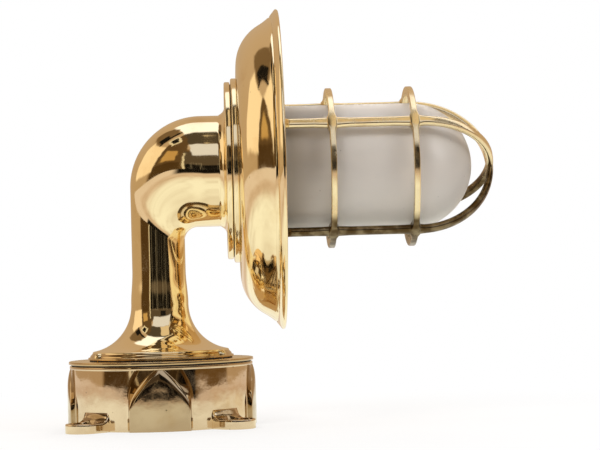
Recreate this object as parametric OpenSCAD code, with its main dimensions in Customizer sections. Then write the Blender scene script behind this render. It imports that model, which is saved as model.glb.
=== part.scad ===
// Polished brass ship's wall light: a round junction box with four lugs, a swan neck that turns
// through a right angle, a spun dish shade, and a frosted glass globe in a screwed-on brass guard.
// The origin is the centre of the mounting face, +Z leaves that face, and +X runs along the lamp.

/* [Junction box] */
// Outer radius of the round wall
box_r = 63.4; // [58:0.2:72]
// Height of the casting, from the mounting face to the rim
box_h = 44; // [40:0.5:56]
// Thickness of the wall
box_wall = 4; // [3:0.25:5]
// Thickness of the floor
box_floor = 4; // [3:0.25:6]
// How far the rim stands out from the wall
rim_out = 1.2; // [0.6:0.1:2.4]
// Height of the rim
rim_h = 1.8; // [1:0.1:3]
// How far the four arched bosses stand out from the wall
boss_out = 3.2; // [2:0.1:5]
// Radius of an arched boss at its foot
boss_r = 21.8; // [16:0.2:24]
// Radius at the top of an arched boss
boss_top_r = 10; // [7:0.2:13]
// Height of the centre of the boss's wide part
boss_z = 15; // [12:0.5:18]
// Height of the centre of the boss's narrow top
boss_top_z = 44; // [38:0.5:50]
// Height at which a boss starts to round back to the wall
boss_turn_z = 22; // [18:0.5:28]

/* [Mounting lugs] */
// Distance from the box's axis to a lug's hole
lug_circle_r = 74; // [72:0.5:82]
// Radius of a lug's round end
lug_r = 12.6; // [11:0.2:15]
// Thickness of a lug
lug_t = 6.6; // [5:0.2:9]
// Radius of the screw hole in a lug
lug_hole_r = 4.25; // [3:0.25:5]
// Radius of the countersink at the top of a lug
lug_sink_r = 8.6; // [7:0.2:9.6]
// Depth of that countersink
lug_sink_depth = 4.4; // [3:0.2:4.8]

/* [Lid] */
// How far the lid stands out past the rim of the box
lid_over = 0.6; // [0.2:0.1:1.5]
// Thickness of the lid
lid_t = 2.2; // [1.6:0.1:3.5]
// Radius of the hole in the lid that the leads pass through
lid_hole_r = 16; // [12:0.5:19]
// Thickness of the gasket between box and lid
box_gasket_t = 1; // [0.6:0.1:1.6]
// Thickness of the gasket under the foot of the neck
foot_gasket_t = 0.8; // [0.5:0.1:1.2]

/* [Neck] */
// Radius of the round foot of the neck
foot_r = 51.5; // [49:0.25:56]
// Radius of the foot at its upper edge
foot_top_r = 47.2; // [45:0.2:48.5]
// Height of the foot's edge
foot_h = 5.6; // [4.6:0.2:7]
// Radius of the neck where it is slimmest
neck_r = 18.9; // [17:0.2:23]
// Height above the mounting face of that slim part
neck_slim_z = 112; // [104:1:118]
// Radius of the hollow sweep from the foot up to the slim part
trumpet_r = 32.5; // [28:0.5:34]
// Thickness of the neck's wall
neck_wall = 3.6; // [2.6:0.2:4.4]
// Radius of the outside of the bend
bend_r = 50.4; // [44:0.4:54]
// Radius of the inside corner of the bend
corner_r = 9.5; // [7:0.25:12]
// Radius of the neck at its outlet
outlet_r = 39.4; // [37:0.2:42]
// Distance from the box's axis to the back of the outlet flange
outlet_x = 49.3; // [48:0.1:56]
// Radius of the fillet behind the outlet flange
outlet_fillet_r = 6.5; // [4:0.25:7]
// How far the outlet flange stays inside the edge of the lamp body's flange
outlet_step = 2.5; // [1:0.25:4]
// Thickness of the outlet flange
outlet_flange_t = 4; // [3.4:0.1:6]
// Height of the lamp's axis above the mounting face
head_z = 179.5; // [172:0.5:200]

/* [Lamp body] */
// Thickness of the gasket between outlet flange and lamp body
flange_gasket_t = 0.6; // [0.4:0.1:1]
// Rubber left outside the screw holes of that gasket
flange_gasket_rim = 2.25; // [1:0.25:3]
// Radius of the lamp body's flange
body_flange_r = 65.5; // [63:0.25:69]
// Thickness of that flange
body_flange_t = 4.2; // [3.4:0.1:6]
// Outer radius of the threaded collar that carries the guard
collar_r = 50; // [49:0.2:51]
// Thickness of the collar's wall
collar_wall = 5.5; // [4.5:0.25:6.5]
// Length of the collar in front of the flange
collar_l = 20; // [18:0.25:24]
// Radius of the opening between neck and lamp body
body_bore_r = 33; // [28:0.5:34.5]

/* [Shade] */
// Radius of the shade at its rim
shade_r = 113.8; // [108:0.2:122]
// Thickness of the spun sheet
shade_t = 1.4; // [1:0.1:2]
// Radius at which the flat back of the shade starts to curve
shade_flat_r = 74; // [71:0.5:78]
// Width of the flare next to the rim, measured along the radius
shade_flare_w = 11.2; // [9:0.2:14]
// Steepest slope of the shade, where shoulder and flare meet
shade_steep_a = 60; // [56:1:64]
// Slope of the flare at the rim
shade_rim_a = 38; // [34:1:44]
// Width of the folded rim, along the lamp's axis
hem_w = 4.3; // [3:0.1:5.5]
// Thickness of the folded rim
hem_t = 2.6; // [2.2:0.1:3.4]
// Thickness of the ring that clamps the shade
clamp_ring_t = 2.4; // [1.8:0.1:3]
// How far the clamp ring reaches past the heads of its screws
clamp_ring_over = 1.6; // [0.8:0.1:2.4]

/* [Globe] */
// Outer radius of the glass globe
globe_r = 45; // [43:0.2:45.6]
// Thickness of the glass
globe_wall = 4; // [3:0.2:5]
// Distance from the box's axis to the tip of the globe
globe_tip_x = 224.6; // [216:0.2:228]
// Radius of the rim that the guard holds the globe by
globe_rim_r = 48.9; // [48:0.1:49.6]
// Thickness of that rim
globe_rim_t = 5; // [4:0.2:6]
// Thickness of the rubber ring between collar and globe
globe_gasket_t = 2; // [1.2:0.2:2.6]

/* [Guard] */
// Outer radius of the guard's rings
guard_r = 57; // [56:0.2:60]
// Size of a ring's section across, from outside to inside
ring_depth = 6.5; // [5:0.1:7]
// Size of a ring's section along the lamp's axis
ring_w = 4.3; // [3.4:0.1:5]
// Distance from the box's axis to the first ring
ring_1_x = 123.3; // [114:0.2:132]
// Distance from the box's axis to the second ring
ring_2_x = 180.6; // [172:0.2:182]
// Width of a bar
bar_w = 6.6; // [5.4:0.1:7.4]
// Thickness of a bar
bar_t = 5; // [4:0.1:5.4]
// Distance from the box's axis to the tip of the guard
guard_tip_x = 240.5; // [238:0.25:248]
// Number of bars
bar_count = 4; // [3:1:6]
// Angle of the first bar above the level, on the front side
bar_angle = 32; // [0:1:89]
// Outer radius of the guard's screwed base ring
base_ring_r = 55.4; // [54.4:0.2:56]
// Distance that the base ring screws onto the collar
thread_grip = 12; // [9:0.5:13]
// Thickness of the inner lip that holds the globe
lip_t = 3; // [2:0.25:4]

/* [Lampholder and bulb] */
// Thickness of the bracket plate
bracket_t = 2; // [1.5:0.1:3]
// Radius of the bracket plate
bracket_r = 42; // [38:0.5:43]
// Radius of the hole in the bracket for the leads
bracket_hole_r = 12; // [8:0.5:14]
// Radius of the heads of the screws that hold the bracket
bracket_head_r = 3; // [2.4:0.1:3.4]
// Radius of the heads of the screws that hold the ceramic holder
holder_head_r = 2.6; // [2.2:0.1:3]
// Height of the heads of both
bracket_head_h = 1.8; // [1.2:0.1:2]
// Outer radius of the ceramic holder
holder_r = 22; // [19:0.25:25]
// Length of the ceramic holder
holder_l = 27; // [24:0.5:32]
// Length of the holder's wide base
holder_base_l = 10; // [7:0.5:14]
// How much slimmer the holder is in front of its base
holder_step = 2.5; // [1.5:0.25:4]
// Outer radius of the screwed brass shell in the holder
shell_r = 14.6; // [14.4:0.1:15.4]
// Thickness of that shell
shell_t = 0.7; // [0.5:0.05:0.9]
// Radius of the bulb's cap
cap_r = 13.4; // [13:0.1:13.6]
// Length of the bulb's cap
cap_l = 25; // [22:0.5:28]
// Radius of the bulb's round end
bulb_r = 27.5; // [22:0.5:30]
// Length of the bulb from the base of its cap to its tip
bulb_l = 104; // [96:0.5:112]
// Thickness of the bulb's glass
bulb_wall = 0.8; // [0.6:0.05:1.2]

/* [Terminals] */
// Length of the terminal block
block_l = 34; // [28:0.5:40]
// Width of the terminal block
block_w = 18; // [15:0.5:22]
// Height of the terminal block
block_h = 14; // [11:0.5:18]
// Spacing of the two poles
pole_gap = 16; // [13:0.5:19]
// Radius of the insulated leads
lead_r = 1.5; // [1.1:0.05:1.8]

/* [Cable gland] */
// Radius of the hole in the gland for the supply cable
gland_bore_r = 5.5; // [4:0.25:6.5]
// Outer radius of the gland's thread
gland_thread_r = 10; // [9:0.25:11]
// Size of the gland's hexagons across their flats
gland_flats = 27; // [25:0.5:32]

/* [Screws] */
// Radius of the circle of the three foot screws
foot_screw_circle_r = 48.5; // [47:0.1:49]
// Radius of a foot screw's domed head
foot_head_r = 3.5; // [3:0.1:3.8]
// Height of that head
foot_head_h = 3.2; // [2.4:0.1:3.6]
// Radius of a foot screw's shank
foot_shank_r = 2; // [1.5:0.1:2.4]
// Radius of a flange screw's head
flange_head_r = 3.4; // [2.8:0.1:3.8]
// Height of that head
flange_head_h = 2.2; // [1.6:0.1:2.8]
// Radius of a flange screw's shank
flange_shank_r = 2; // [1.5:0.1:2.4]

/* [Fits] */
// Gap between a screw's shank and its hole
hole_gap = 0.15; // [0.1:0.05:0.3]
// Gap all round the thread between guard and collar
thread_gap = 0.3; // [0.15:0.05:0.4]
// Gap between pieces that sit loosely in each other
seat_gap = 0.3; // [0.2:0.05:0.5]

/* [Hidden] */
$fn = 96;
cut = 1;

brass = [0.80, 0.62, 0.30];
pale_brass = [0.84, 0.70, 0.45];
rubber = [0.12, 0.11, 0.10];
porcelain = [0.92, 0.90, 0.84];
frosted = [0.86, 0.86, 0.85, 0.75];

// Levels of the stack on the box
rim_r = box_r + rim_out;
lid_z = box_h + box_gasket_t;
lid_top = lid_z + lid_t;
lid_r = rim_r + lid_over;
foot_z = lid_top + foot_gasket_t;
foot_top = foot_z + foot_h;
foot_edge = 1.4;
foot_step = 1.2;
foot_seat = foot_z + foot_step;
foot_screw_angles = [-30, 90, 210];
ear_r = foot_shank_r + 3;
foot_tap = 12;
ear_z = lid_z - foot_tap - 2;
hollow_r = 34;
neck_taper = 1.4;
trumpet_x = neck_r + neck_taper + trumpet_r;
trumpet_c = [trumpet_x, foot_top + sqrt(pow(trumpet_r, 2) - pow(trumpet_x - foot_top_r, 2))];

// Edges of the neck's bend: the outside, and the inside corner
bend_c = [bend_r - neck_r, head_z + outlet_r - bend_r];
corner_c = [neck_r + corner_r, head_z - outlet_r - corner_r];
bend_z0 = neck_slim_z - 2;
bend_x1 = outlet_x - outlet_fillet_r + 2;
bend_skin = 0.1;

// Places along the lamp's axis
outlet_start = outlet_x - outlet_fillet_r;
outlet_face = outlet_x + outlet_flange_t;
outlet_flange_r = body_flange_r - outlet_step;
outlet_bore_r = outlet_r - neck_wall + 0.4;
edge = 0.8;
body_back = outlet_face + flange_gasket_t;
body_face = body_back + body_flange_t;
shade_face = body_face + shade_t;
clamp_face = shade_face + clamp_ring_t;
collar_end = body_face + collar_l;
globe_base = collar_end + globe_gasket_t;
globe_rim_end = globe_base + globe_rim_t;
lip_x = globe_rim_end + seat_gap;
base_ring_end = lip_x + lip_t;
base_ring_start = collar_end - thread_grip;
bar_sink = 0.4;
guard_mid_r = guard_r - bar_sink - bar_t / 2;
hub_proud = 0.2;
dome_x = guard_tip_x - guard_mid_r - bar_t / 2 - hub_proud;
hub_r = bar_w / 2 / sin(180 / bar_count) + 1.4;
globe_dome_x = globe_tip_x - globe_r;
flange_screw_angles = [45, 135, 225, 315];
flange_screw_circle_r = (collar_r + outlet_flange_r) / 2 + 0.5;
clamp_ring_r = flange_screw_circle_r + flange_head_r + clamp_ring_over;
flange_gasket_r = flange_screw_circle_r + flange_shank_r + hole_gap + flange_gasket_rim;
flange_tap = 2.8;
bracket_screw_circle_r = (body_bore_r + bracket_r) / 2 + 0.4;
bracket_screw_r = 1.5;
bracket_tap = 3;
holder_screw_circle_r = (holder_r + bracket_hole_r) / 2 + 1;
holder_tap = 3.2;

// Lampholder and bulb along the lamp's axis
bracket_face = body_face + bracket_t;
holder_end = bracket_face + holder_l;
holder_floor = 4;
contact_t = 1.6;
contact_r = 4;
contact_face = bracket_face + holder_floor + contact_t;
cap_base = contact_face + seat_gap;
cap_end = cap_base + cap_l;
bulb_tip = cap_base + bulb_l;
bulb_mid = bulb_tip - bulb_r;
stem_r = cap_r - 1.4;
cap_seat = 8;
bulb_foot = 7.5;
bulb_neck_l = 4;
bulb_neck_a = 50;

// Shade's outline, from the flat back to the rim, as radius and place along the axis
shade_turn_r = shade_r - shade_flare_w;
shade_shoulder_r = (shade_turn_r - shade_flat_r) / sin(shade_steep_a);
shade_turn_x = shade_shoulder_r * (1 - cos(shade_steep_a));
flare_r = shade_flare_w / (sin(shade_steep_a) - sin(shade_rim_a));
flare_c = [shade_turn_r + flare_r * sin(shade_steep_a), shade_turn_x - flare_r * cos(shade_steep_a)];

// Gland and terminals
gland_z = boss_z + 5;
gland_pad_r = gland_flats / sqrt(3) + 1;
gland_pad_y = sqrt(pow(box_r + boss_out, 2) - pow(gland_pad_r, 2));
gland_inner_y = box_r - box_wall - 2;
gland_hex_t = 5;
gland_wall = 2.4;
gland_stub_l = 7;
gland_stub_r = gland_thread_r - 0.6;
gland_cup_r = gland_bore_r + gland_wall;
nut_end_t = 4;
gland_seal_l = 8;
block_x = -20;
block_top = box_floor + block_h;
barrel_r = 3;
terminal_dx = 5;
terminal_shank_r = 1.4;
terminal_head_r = 2.6;
terminal_head_h = 1.6;
block_screw_r = 1.8;
block_head_r = 3.4;
block_head_h = 2;
block_tap = 2.4;
block_step = 1.5;
earth_x = 22;
earth_y = 24;
earth_pad_h = 3;
earth_pad_r = 5.5;
earth_screw_r = 2.4;
earth_head_r = 4;
earth_head_h = 2.4;

// The leads' routes, as points of their centre lines, for the lead on the front side
lead_y = 4;
lead_route = [[block_x + block_w / 2, -pole_gap / 2, box_floor + block_h / 2],
              [-6, -7.6, 12], [-2.5, -6.8, 17], [-0.6, -5.6, 28], [0, -lead_y, 44],
              [0, -lead_y, 75], [0, -lead_y, neck_slim_z - 6], [2.5, -lead_y, neck_slim_z + 20],
              [9, -lead_y, head_z - 26], [20, -lead_y, head_z - 10], [34, -5, head_z - 2.2],
              [46, -6.4, head_z], [54, -7, head_z], [bracket_face, -7, head_z]];

// Turns a shape that stands on +Z so that it lies along the lamp's axis
module on_head() {
    translate([0, 0, head_z]) rotate([0, 90, 0]) children();
}

// Points of an arc about a centre, from one angle to another
function arc(c, r, a0, a1, n = 12) =
    [for (i = [0:n]) let (a = a0 + (a1 - a0) * i / n) [c[0] + r * cos(a), c[1] + r * sin(a)]];

// A washer-shaped ring that stands on z = 0
module ring(outer, inner, t) {
    difference() {
        cylinder(r = outer, h = t);
        translate([0, 0, -cut]) cylinder(r = inner, h = t + 2 * cut);
    }
}

// A plain screw on +Z: domed head from z = 0 up, shank down
module dome_screw(head_r, head_h, shank_r, shank_l) {
    ball_r = (head_r * head_r + head_h * head_h) / (2 * head_h);
    intersection() {
        translate([0, 0, head_h - ball_r]) sphere(r = ball_r);
        cylinder(r = head_r + cut, h = head_h + cut);
    }
    translate([0, 0, -shank_l]) cylinder(r = shank_r, h = shank_l + head_h / 4);
}

// A screw with a flat slotted head
module slot_screw(head_r, head_h, shank_r, shank_l) {
    difference() {
        union() {
            cylinder(r = head_r, h = head_h);
            translate([0, 0, -shank_l]) cylinder(r = shank_r, h = shank_l + head_h / 2);
        }
        translate([-head_r - cut, -0.5, head_h * 0.5]) cube([2 * head_r + 2 * cut, 1, head_h]);
    }
}

function unit(v) = v / norm(v);
function heading(path, i) =
    i == 0 || i == len(path) - 1 ? [1, 0, 0] : unit(path[i + 1] - path[i - 1]);

// A tube along a route, with a ring of points square to the route at each of its points
function side_of(d) = unit(cross(d, [0, 1, 0]));
function tube_ring(p, d, r, sides) =
    [for (k = [0:sides - 1]) let (a = 360 * k / sides)
        p + r * cos(a) * side_of(d) + r * sin(a) * cross(d, side_of(d))];
module tube(path, r, sides = 8) {
    n = len(path);
    rings = [for (i = [0:n - 1]) each tube_ring(path[i], heading(path, i), r, sides)];
    walls = [for (i = [0:n - 2]) for (k = [0:sides - 1])
        let (a = i * sides + k, b = i * sides + (k + 1) % sides)
        each [[a, b, a + sides], [b, b + sides, a + sides]]];
    start = [for (k = [1:sides - 2]) [0, k + 1, k]];
    end = [for (k = [1:sides - 2]) [(n - 1) * sides, (n - 1) * sides + k, (n - 1) * sides + k + 1]];
    polyhedron(points = rings, faces = concat(start, walls, end));
}

// Outline of an arched boss, seen from its front: a wide arc, straight leaning sides and a narrow arc
module arch_outline() {
    lean = asin((boss_r - boss_top_r) / (boss_top_z - boss_z));
    polygon(concat([[-boss_r, 0], [boss_r, 0]], arc([0, boss_z], boss_r, 0, lean, 4),
        arc([0, boss_top_z], boss_top_r, lean, 180 - lean, 10),
        arc([0, boss_z], boss_r, 180 - lean, 180, 4)));
}

// Arched boss on the wall, facing +X; its face rounds back to the wall below the rim
module boss() {
    top = box_h - rim_h;
    turn_h = top - boss_turn_z;
    face_r = (boss_out * boss_out + turn_h * turn_h) / (2 * boss_out);
    turn_a = asin(turn_h / face_r);
    face_c = [box_r + boss_out - face_r, boss_turn_z];
    intersection() {
        translate([box_r - box_wall / 2, 0, 0]) rotate([90, 0, 90])
            linear_extrude(height = box_wall / 2 + boss_out) arch_outline();
        rotate_extrude()
            polygon(concat([[0, 0], [box_r + boss_out, 0]], arc(face_c, face_r, 0, turn_a, 5), [[0, top]]));
    }
}

// Lug on the wall, facing +X
module lug() {
    translate([lug_circle_r, 0, 0]) cylinder(r = lug_r, h = lug_t);
    translate([box_r - box_wall / 2, -lug_r, 0])
        cube([lug_circle_r - box_r + box_wall / 2, 2 * lug_r, lug_t]);
}

// Screw hole and countersink of a lug
module lug_hole() {
    translate([lug_circle_r, 0, -cut]) cylinder(r = lug_hole_r, h = lug_t + 2 * cut);
    translate([lug_circle_r, 0, lug_t - lug_sink_depth])
        cylinder(r1 = lug_hole_r, r2 = lug_sink_r, h = lug_sink_depth);
    translate([lug_circle_r, 0, lug_t]) cylinder(r = lug_sink_r, h = cut);
}

// Puts its children at each of the three foot screws
module at_foot_screws() {
    for (a = foot_screw_angles) rotate([0, 0, a]) translate([foot_screw_circle_r, 0, 0]) children();
}

module junction_box() {
    color(pale_brass) difference() {
        union() {
            difference() {
                union() {
                    cylinder(r = box_r, h = box_h);
                    translate([0, 0, box_h - rim_h]) cylinder(r = rim_r, h = rim_h);
                    for (a = [0:90:270]) rotate([0, 0, a]) boss();
                    for (a = [45:90:315]) rotate([0, 0, a]) lug();
                }
                translate([0, 0, box_floor]) cylinder(r = box_r - box_wall, h = box_h);
            }
            at_foot_screws() {
                translate([0, 0, ear_z]) cylinder(r = ear_r, h = lid_z - ear_z);
                translate([0, -ear_r, ear_z])
                    cube([box_r - box_wall / 2 - foot_screw_circle_r, 2 * ear_r, box_h - rim_h - ear_z]);
            }
            translate([earth_x, earth_y, box_floor / 2])
                cylinder(r = earth_pad_r, h = box_floor / 2 + earth_pad_h);
        }
        for (a = [45:90:315]) rotate([0, 0, a]) lug_hole();
        at_foot_screws() translate([0, 0, lid_z - foot_tap])
            cylinder(r = foot_shank_r + hole_gap, h = foot_tap + cut);
        at_gland() {
            translate([0, 0, gland_inner_y - gland_pad_y])
                cylinder(r = gland_thread_r + hole_gap, h = box_r);
            cylinder(r = gland_pad_r, h = box_r);
        }
        translate([block_x, 0, box_floor - block_tap]) cylinder(r = block_screw_r + hole_gap, h = box_h);
        translate([earth_x, earth_y, box_floor - 1]) cylinder(r = earth_screw_r + hole_gap, h = box_h);
    }
}

module box_gasket() {
    color(rubber) translate([0, 0, box_h]) ring(box_r, box_r - box_wall, box_gasket_t);
}

module box_lid() {
    color(brass) translate([0, 0, lid_z]) difference() {
        ring(lid_r, lid_hole_r, lid_t);
        at_foot_screws() translate([0, 0, -cut]) cylinder(r = foot_shank_r + hole_gap, h = lid_t + 2 * cut);
    }
}

module foot_gasket() {
    color(rubber) translate([0, 0, lid_top]) difference() {
        ring(foot_r - 1, hollow_r, foot_gasket_t);
        at_foot_screws() translate([0, 0, -cut])
            cylinder(r = foot_shank_r + hole_gap, h = foot_gasket_t + 2 * cut);
    }
}

// A bend's edge as seen from the side: a straight lead, a quarter turn about c, and a straight tail
function bend_edge(c, r, lead, tail, t) =
    let (turn = r * PI / 2, s = t * (lead + turn + tail), a = (s - lead) / r * 180 / PI)
    s < lead ? [c[0] - r, c[1] - lead + s]
    : s < lead + turn ? [c[0] - r * cos(a), c[1] + r * sin(a)]
    : [c[0] + s - lead - turn, c[1] + r];

// The two edges of the neck's bend, and the round section between them at one place along it
function outer_edge(t) = bend_edge(bend_c, bend_r, bend_c[1] - bend_z0, bend_x1 - bend_c[0], t);
function inner_edge(t) = bend_edge(corner_c, corner_r, corner_c[1] - bend_z0, bend_x1 - corner_c[0], t);
function bend_section(t, thin, sides) =
    let (o = outer_edge(t), i = inner_edge(t), m = (o + i) / 2, d = (o - i) / norm(o - i),
         r = norm(o - i) / 2 - thin)
    [for (k = [0:sides - 1]) let (a = 360 * k / sides)
        [m[0] + r * cos(a) * d[0], r * sin(a), m[1] + r * cos(a) * d[1]]];

// The bend as one thick-walled tube
module neck_bend(rings = 20, sides = 40) {
    skin = [for (i = [0:rings]) each bend_section(i / rings, bend_skin, sides)];
    bore = [for (i = [0:rings]) each bend_section(i / rings, neck_wall, sides)];
    half = len(skin);
    quad = [for (i = [0:rings - 1]) for (k = [0:sides - 1])
        let (a = i * sides + k, b = i * sides + (k + 1) % sides) [a, b, b + sides, a + sides]];
    ends = [for (k = [0:sides - 1]) let (n = (k + 1) % sides, last = rings * sides)
        each [[k, k + half, n + half, n], [last + k, last + n, last + n + half, last + k + half]]];
    polyhedron(points = concat(skin, bore), convexity = 6, faces = concat(ends,
        quad, [for (q = quad) [q[3] + half, q[2] + half, q[1] + half, q[0] + half]]));
}

module neck() {
    hollow_turn = trumpet_r + neck_wall;
    foot_a = acos((foot_top_r - trumpet_c[0]) / trumpet_r);
    hollow_a = acos((hollow_r - trumpet_c[0]) / hollow_turn);
    color(brass) difference() {
        union() {
            rotate_extrude() polygon(concat(
                [[hollow_r, foot_z], [foot_r, foot_z], [foot_r, foot_z + foot_edge],
                 [foot_r - foot_step, foot_z + foot_edge + 1.6], [foot_top_r + edge, foot_top - 1]],
                arc(trumpet_c, trumpet_r, 360 - foot_a, 180, 14),
                [[neck_r, neck_slim_z], [neck_r - neck_wall, neck_slim_z]],
                arc(trumpet_c, hollow_turn, 180, 360 - hollow_a, 10)));
            neck_bend();
            on_head() rotate_extrude() polygon(concat(
                [[outlet_bore_r, outlet_face], [outlet_bore_r, outlet_start],
                 [outlet_r - 2 * bend_skin, outlet_start]],
                arc([outlet_r + outlet_fillet_r, outlet_start], outlet_fillet_r, 180, 90, 6),
                [[outlet_flange_r, outlet_x], [outlet_flange_r, outlet_face]]));
        }
        at_foot_screws() {
            translate([0, 0, foot_z - cut]) cylinder(r = foot_shank_r + hole_gap, h = foot_h);
            translate([0, 0, foot_seat]) cylinder(r = foot_head_r + seat_gap, h = foot_h + 4);
        }
        at_flange_screws() translate([0, 0, outlet_face - flange_tap])
            cylinder(r = flange_shank_r + hole_gap, h = flange_tap + cut);
    }
}

module foot_screws() {
    color(brass) at_foot_screws() translate([0, 0, foot_seat])
        dome_screw(foot_head_r, foot_head_h, foot_shank_r, foot_seat - lid_z + foot_tap - seat_gap);
}

// Puts its children at the gland, lying along +Y with z = 0 at the face of its pad
module at_gland() {
    translate([0, gland_pad_y, gland_z]) rotate([-90, 0, 0]) children();
}

module hexagon(flats, t) {
    cylinder(r = flats / sqrt(3), h = t, $fn = 6);
}

module gland_body() {
    color(brass) at_gland() difference() {
        union() {
            hexagon(gland_flats, gland_hex_t);
            translate([0, 0, gland_inner_y - gland_pad_y])
                cylinder(r = gland_thread_r, h = gland_pad_y - gland_inner_y + cut);
            cylinder(r = gland_stub_r, h = gland_hex_t + gland_stub_l);
        }
        translate([0, 0, -box_r]) cylinder(r = gland_bore_r, h = 2 * box_r);
        translate([0, 0, gland_hex_t + gland_stub_l - gland_seal_l])
            cylinder(r = gland_cup_r, h = gland_seal_l + cut);
    }
}

module gland_seal() {
    color(rubber) at_gland() translate([0, 0, gland_hex_t + gland_stub_l - gland_seal_l])
        ring(gland_cup_r - hole_gap, gland_bore_r, gland_seal_l);
}

module gland_nut() {
    color(brass) at_gland() translate([0, 0, gland_hex_t + seat_gap]) difference() {
        hexagon(gland_flats, gland_stub_l - seat_gap + nut_end_t);
        translate([0, 0, -cut]) cylinder(r = gland_stub_r + hole_gap, h = gland_stub_l - seat_gap + cut);
        cylinder(r = gland_bore_r, h = gland_stub_l + nut_end_t + cut);
    }
}

// Puts its children at the two poles of the terminal block, on its top face
module at_poles(x) {
    for (s = [-1, 1]) translate([block_x + x, s * pole_gap / 2, block_top]) children();
}

module terminal_block() {
    color(porcelain) difference() {
        union() {
            translate([block_x - block_w / 2, -block_l / 2, box_floor])
                cube([block_w, block_l, block_h - block_step]);
            translate([block_x - block_w / 2 + block_step, -block_l / 2 + block_step, box_floor])
                cube([block_w - 2 * block_step, block_l - 2 * block_step, block_h]);
        }
        at_poles(0) translate([-block_w, 0, -block_h / 2]) rotate([0, 90, 0])
            cylinder(r = barrel_r + hole_gap, h = 2 * block_w);
        for (s = [-1, 1]) at_poles(s * terminal_dx) translate([0, 0, -block_h / 2])
            cylinder(r = terminal_shank_r + hole_gap, h = block_h);
        translate([block_x, 0, box_floor - cut])
            cylinder(r = block_screw_r + hole_gap, h = block_h + 2 * cut);
        translate([block_x, 0, block_top - block_head_h])
            cylinder(r = block_head_r + seat_gap, h = block_h);
    }
}

module terminal_barrels() {
    color(brass) difference() {
        at_poles(0) translate([-block_w / 2, 0, -block_h / 2]) rotate([0, 90, 0])
            cylinder(r = barrel_r, h = block_w);
        for (s = [-1, 1]) at_poles(s * terminal_dx) translate([0, 0, -block_h / 2])
            cylinder(r = terminal_shank_r + hole_gap, h = block_h);
    }
}

module terminal_screws() {
    color(brass) for (s = [-1, 1]) at_poles(s * terminal_dx)
        slot_screw(terminal_head_r, terminal_head_h, terminal_shank_r, block_h / 2 - seat_gap);
}

module block_screw() {
    color(brass) translate([block_x, 0, block_top - block_head_h]) slot_screw(
        block_head_r, block_head_h, block_screw_r, block_h - block_head_h + block_tap - seat_gap);
}

module earth_screw() {
    color(brass) translate([earth_x, earth_y, box_floor + earth_pad_h])
        slot_screw(earth_head_r, earth_head_h, earth_screw_r, earth_pad_h + 1 - seat_gap);
}

module lead_live() {
    color("saddlebrown") tube(lead_route, lead_r);
}

module lead_neutral() {
    color("darkslategray") mirror([0, 1, 0]) tube(lead_route, lead_r);
}

// Puts its children at the four flange screws, along the lamp's axis
module at_flange_screws() {
    on_head() for (a = flange_screw_angles)
        rotate([0, 0, a]) translate([flange_screw_circle_r, 0, 0]) children();
}

module flange_gasket() {
    color(rubber) difference() {
        on_head() translate([0, 0, outlet_face])
            ring(flange_gasket_r, outlet_bore_r, flange_gasket_t);
        at_flange_screws() translate([0, 0, outlet_face - cut])
            cylinder(r = flange_shank_r + hole_gap, h = flange_gasket_t + 2 * cut);
    }
}

module lamp_body() {
    color(brass) difference() {
        on_head() rotate_extrude() polygon([
            [body_bore_r, body_back], [body_flange_r - edge, body_back], [body_flange_r, body_back + edge],
            [body_flange_r, body_face - edge], [body_flange_r - edge, body_face], [collar_r, body_face],
            [collar_r, collar_end], [collar_r - collar_wall, collar_end],
            [collar_r - collar_wall, body_face], [body_bore_r, body_face]]);
        at_flange_screws() translate([0, 0, body_back - cut])
            cylinder(r = flange_shank_r + hole_gap, h = body_flange_t + 2 * cut);
        at_bracket_screws() translate([0, 0, body_face - bracket_tap])
            cylinder(r = bracket_screw_r + hole_gap, h = bracket_tap + cut);
    }
}

// The shade's sheet as points of radius and place behind its front, a distance off its back face
function shade_line(off) = concat(
    [[collar_r + seat_gap, off], [shade_flat_r, off]],
    [for (i = [1:12]) let (a = shade_steep_a * i / 12)
        [shade_flat_r + (shade_shoulder_r - off) * sin(a),
         shade_shoulder_r - (shade_shoulder_r - off) * cos(a)]],
    [for (i = [1:6]) let (a = shade_steep_a + (shade_rim_a - shade_steep_a) * i / 6)
        [flare_c[0] - (flare_r + off) * sin(a), flare_c[1] + (flare_r + off) * cos(a)]]);

module shade() {
    back = shade_line(0);
    front = shade_line(shade_t);
    hem_l = hem_w / sin(shade_rim_a);
    color(brass) difference() {
        on_head() translate([0, 0, body_face]) rotate_extrude() {
            polygon(concat(back, [for (i = [len(front) - 1:-1:0]) front[i]]));
            translate(back[len(back) - 1]) rotate(shade_rim_a) translate([0, shade_t / 2]) {
                translate([-hem_l, -hem_t / 2]) square([hem_l - hem_t / 2, hem_t]);
                translate([-hem_t / 2, 0]) circle(d = hem_t);
            }
        }
        at_flange_screws() translate([0, 0, body_face - cut])
            cylinder(r = flange_shank_r + hole_gap, h = shade_t + 2 * cut);
    }
}

module shade_clamp_ring() {
    color(brass) difference() {
        on_head() translate([0, 0, shade_face]) ring(clamp_ring_r, collar_r + seat_gap, clamp_ring_t);
        at_flange_screws() translate([0, 0, shade_face - cut])
            cylinder(r = flange_shank_r + hole_gap, h = clamp_ring_t + 2 * cut);
    }
}

module flange_screws() {
    shank_l = clamp_face - outlet_face + flange_tap - seat_gap;
    color(brass) at_flange_screws() translate([0, 0, clamp_face])
        slot_screw(flange_head_r, flange_head_h, flange_shank_r, shank_l);
}

// Puts its children at the screws that hold the bracket, and at those that hold the ceramic
module at_bracket_screws() {
    on_head() for (a = [90, 270]) rotate([0, 0, a]) translate([bracket_screw_circle_r, 0, 0]) children();
}
module at_holder_screws() {
    on_head() for (a = [0, 180]) rotate([0, 0, a]) translate([holder_screw_circle_r, 0, 0]) children();
}

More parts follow.
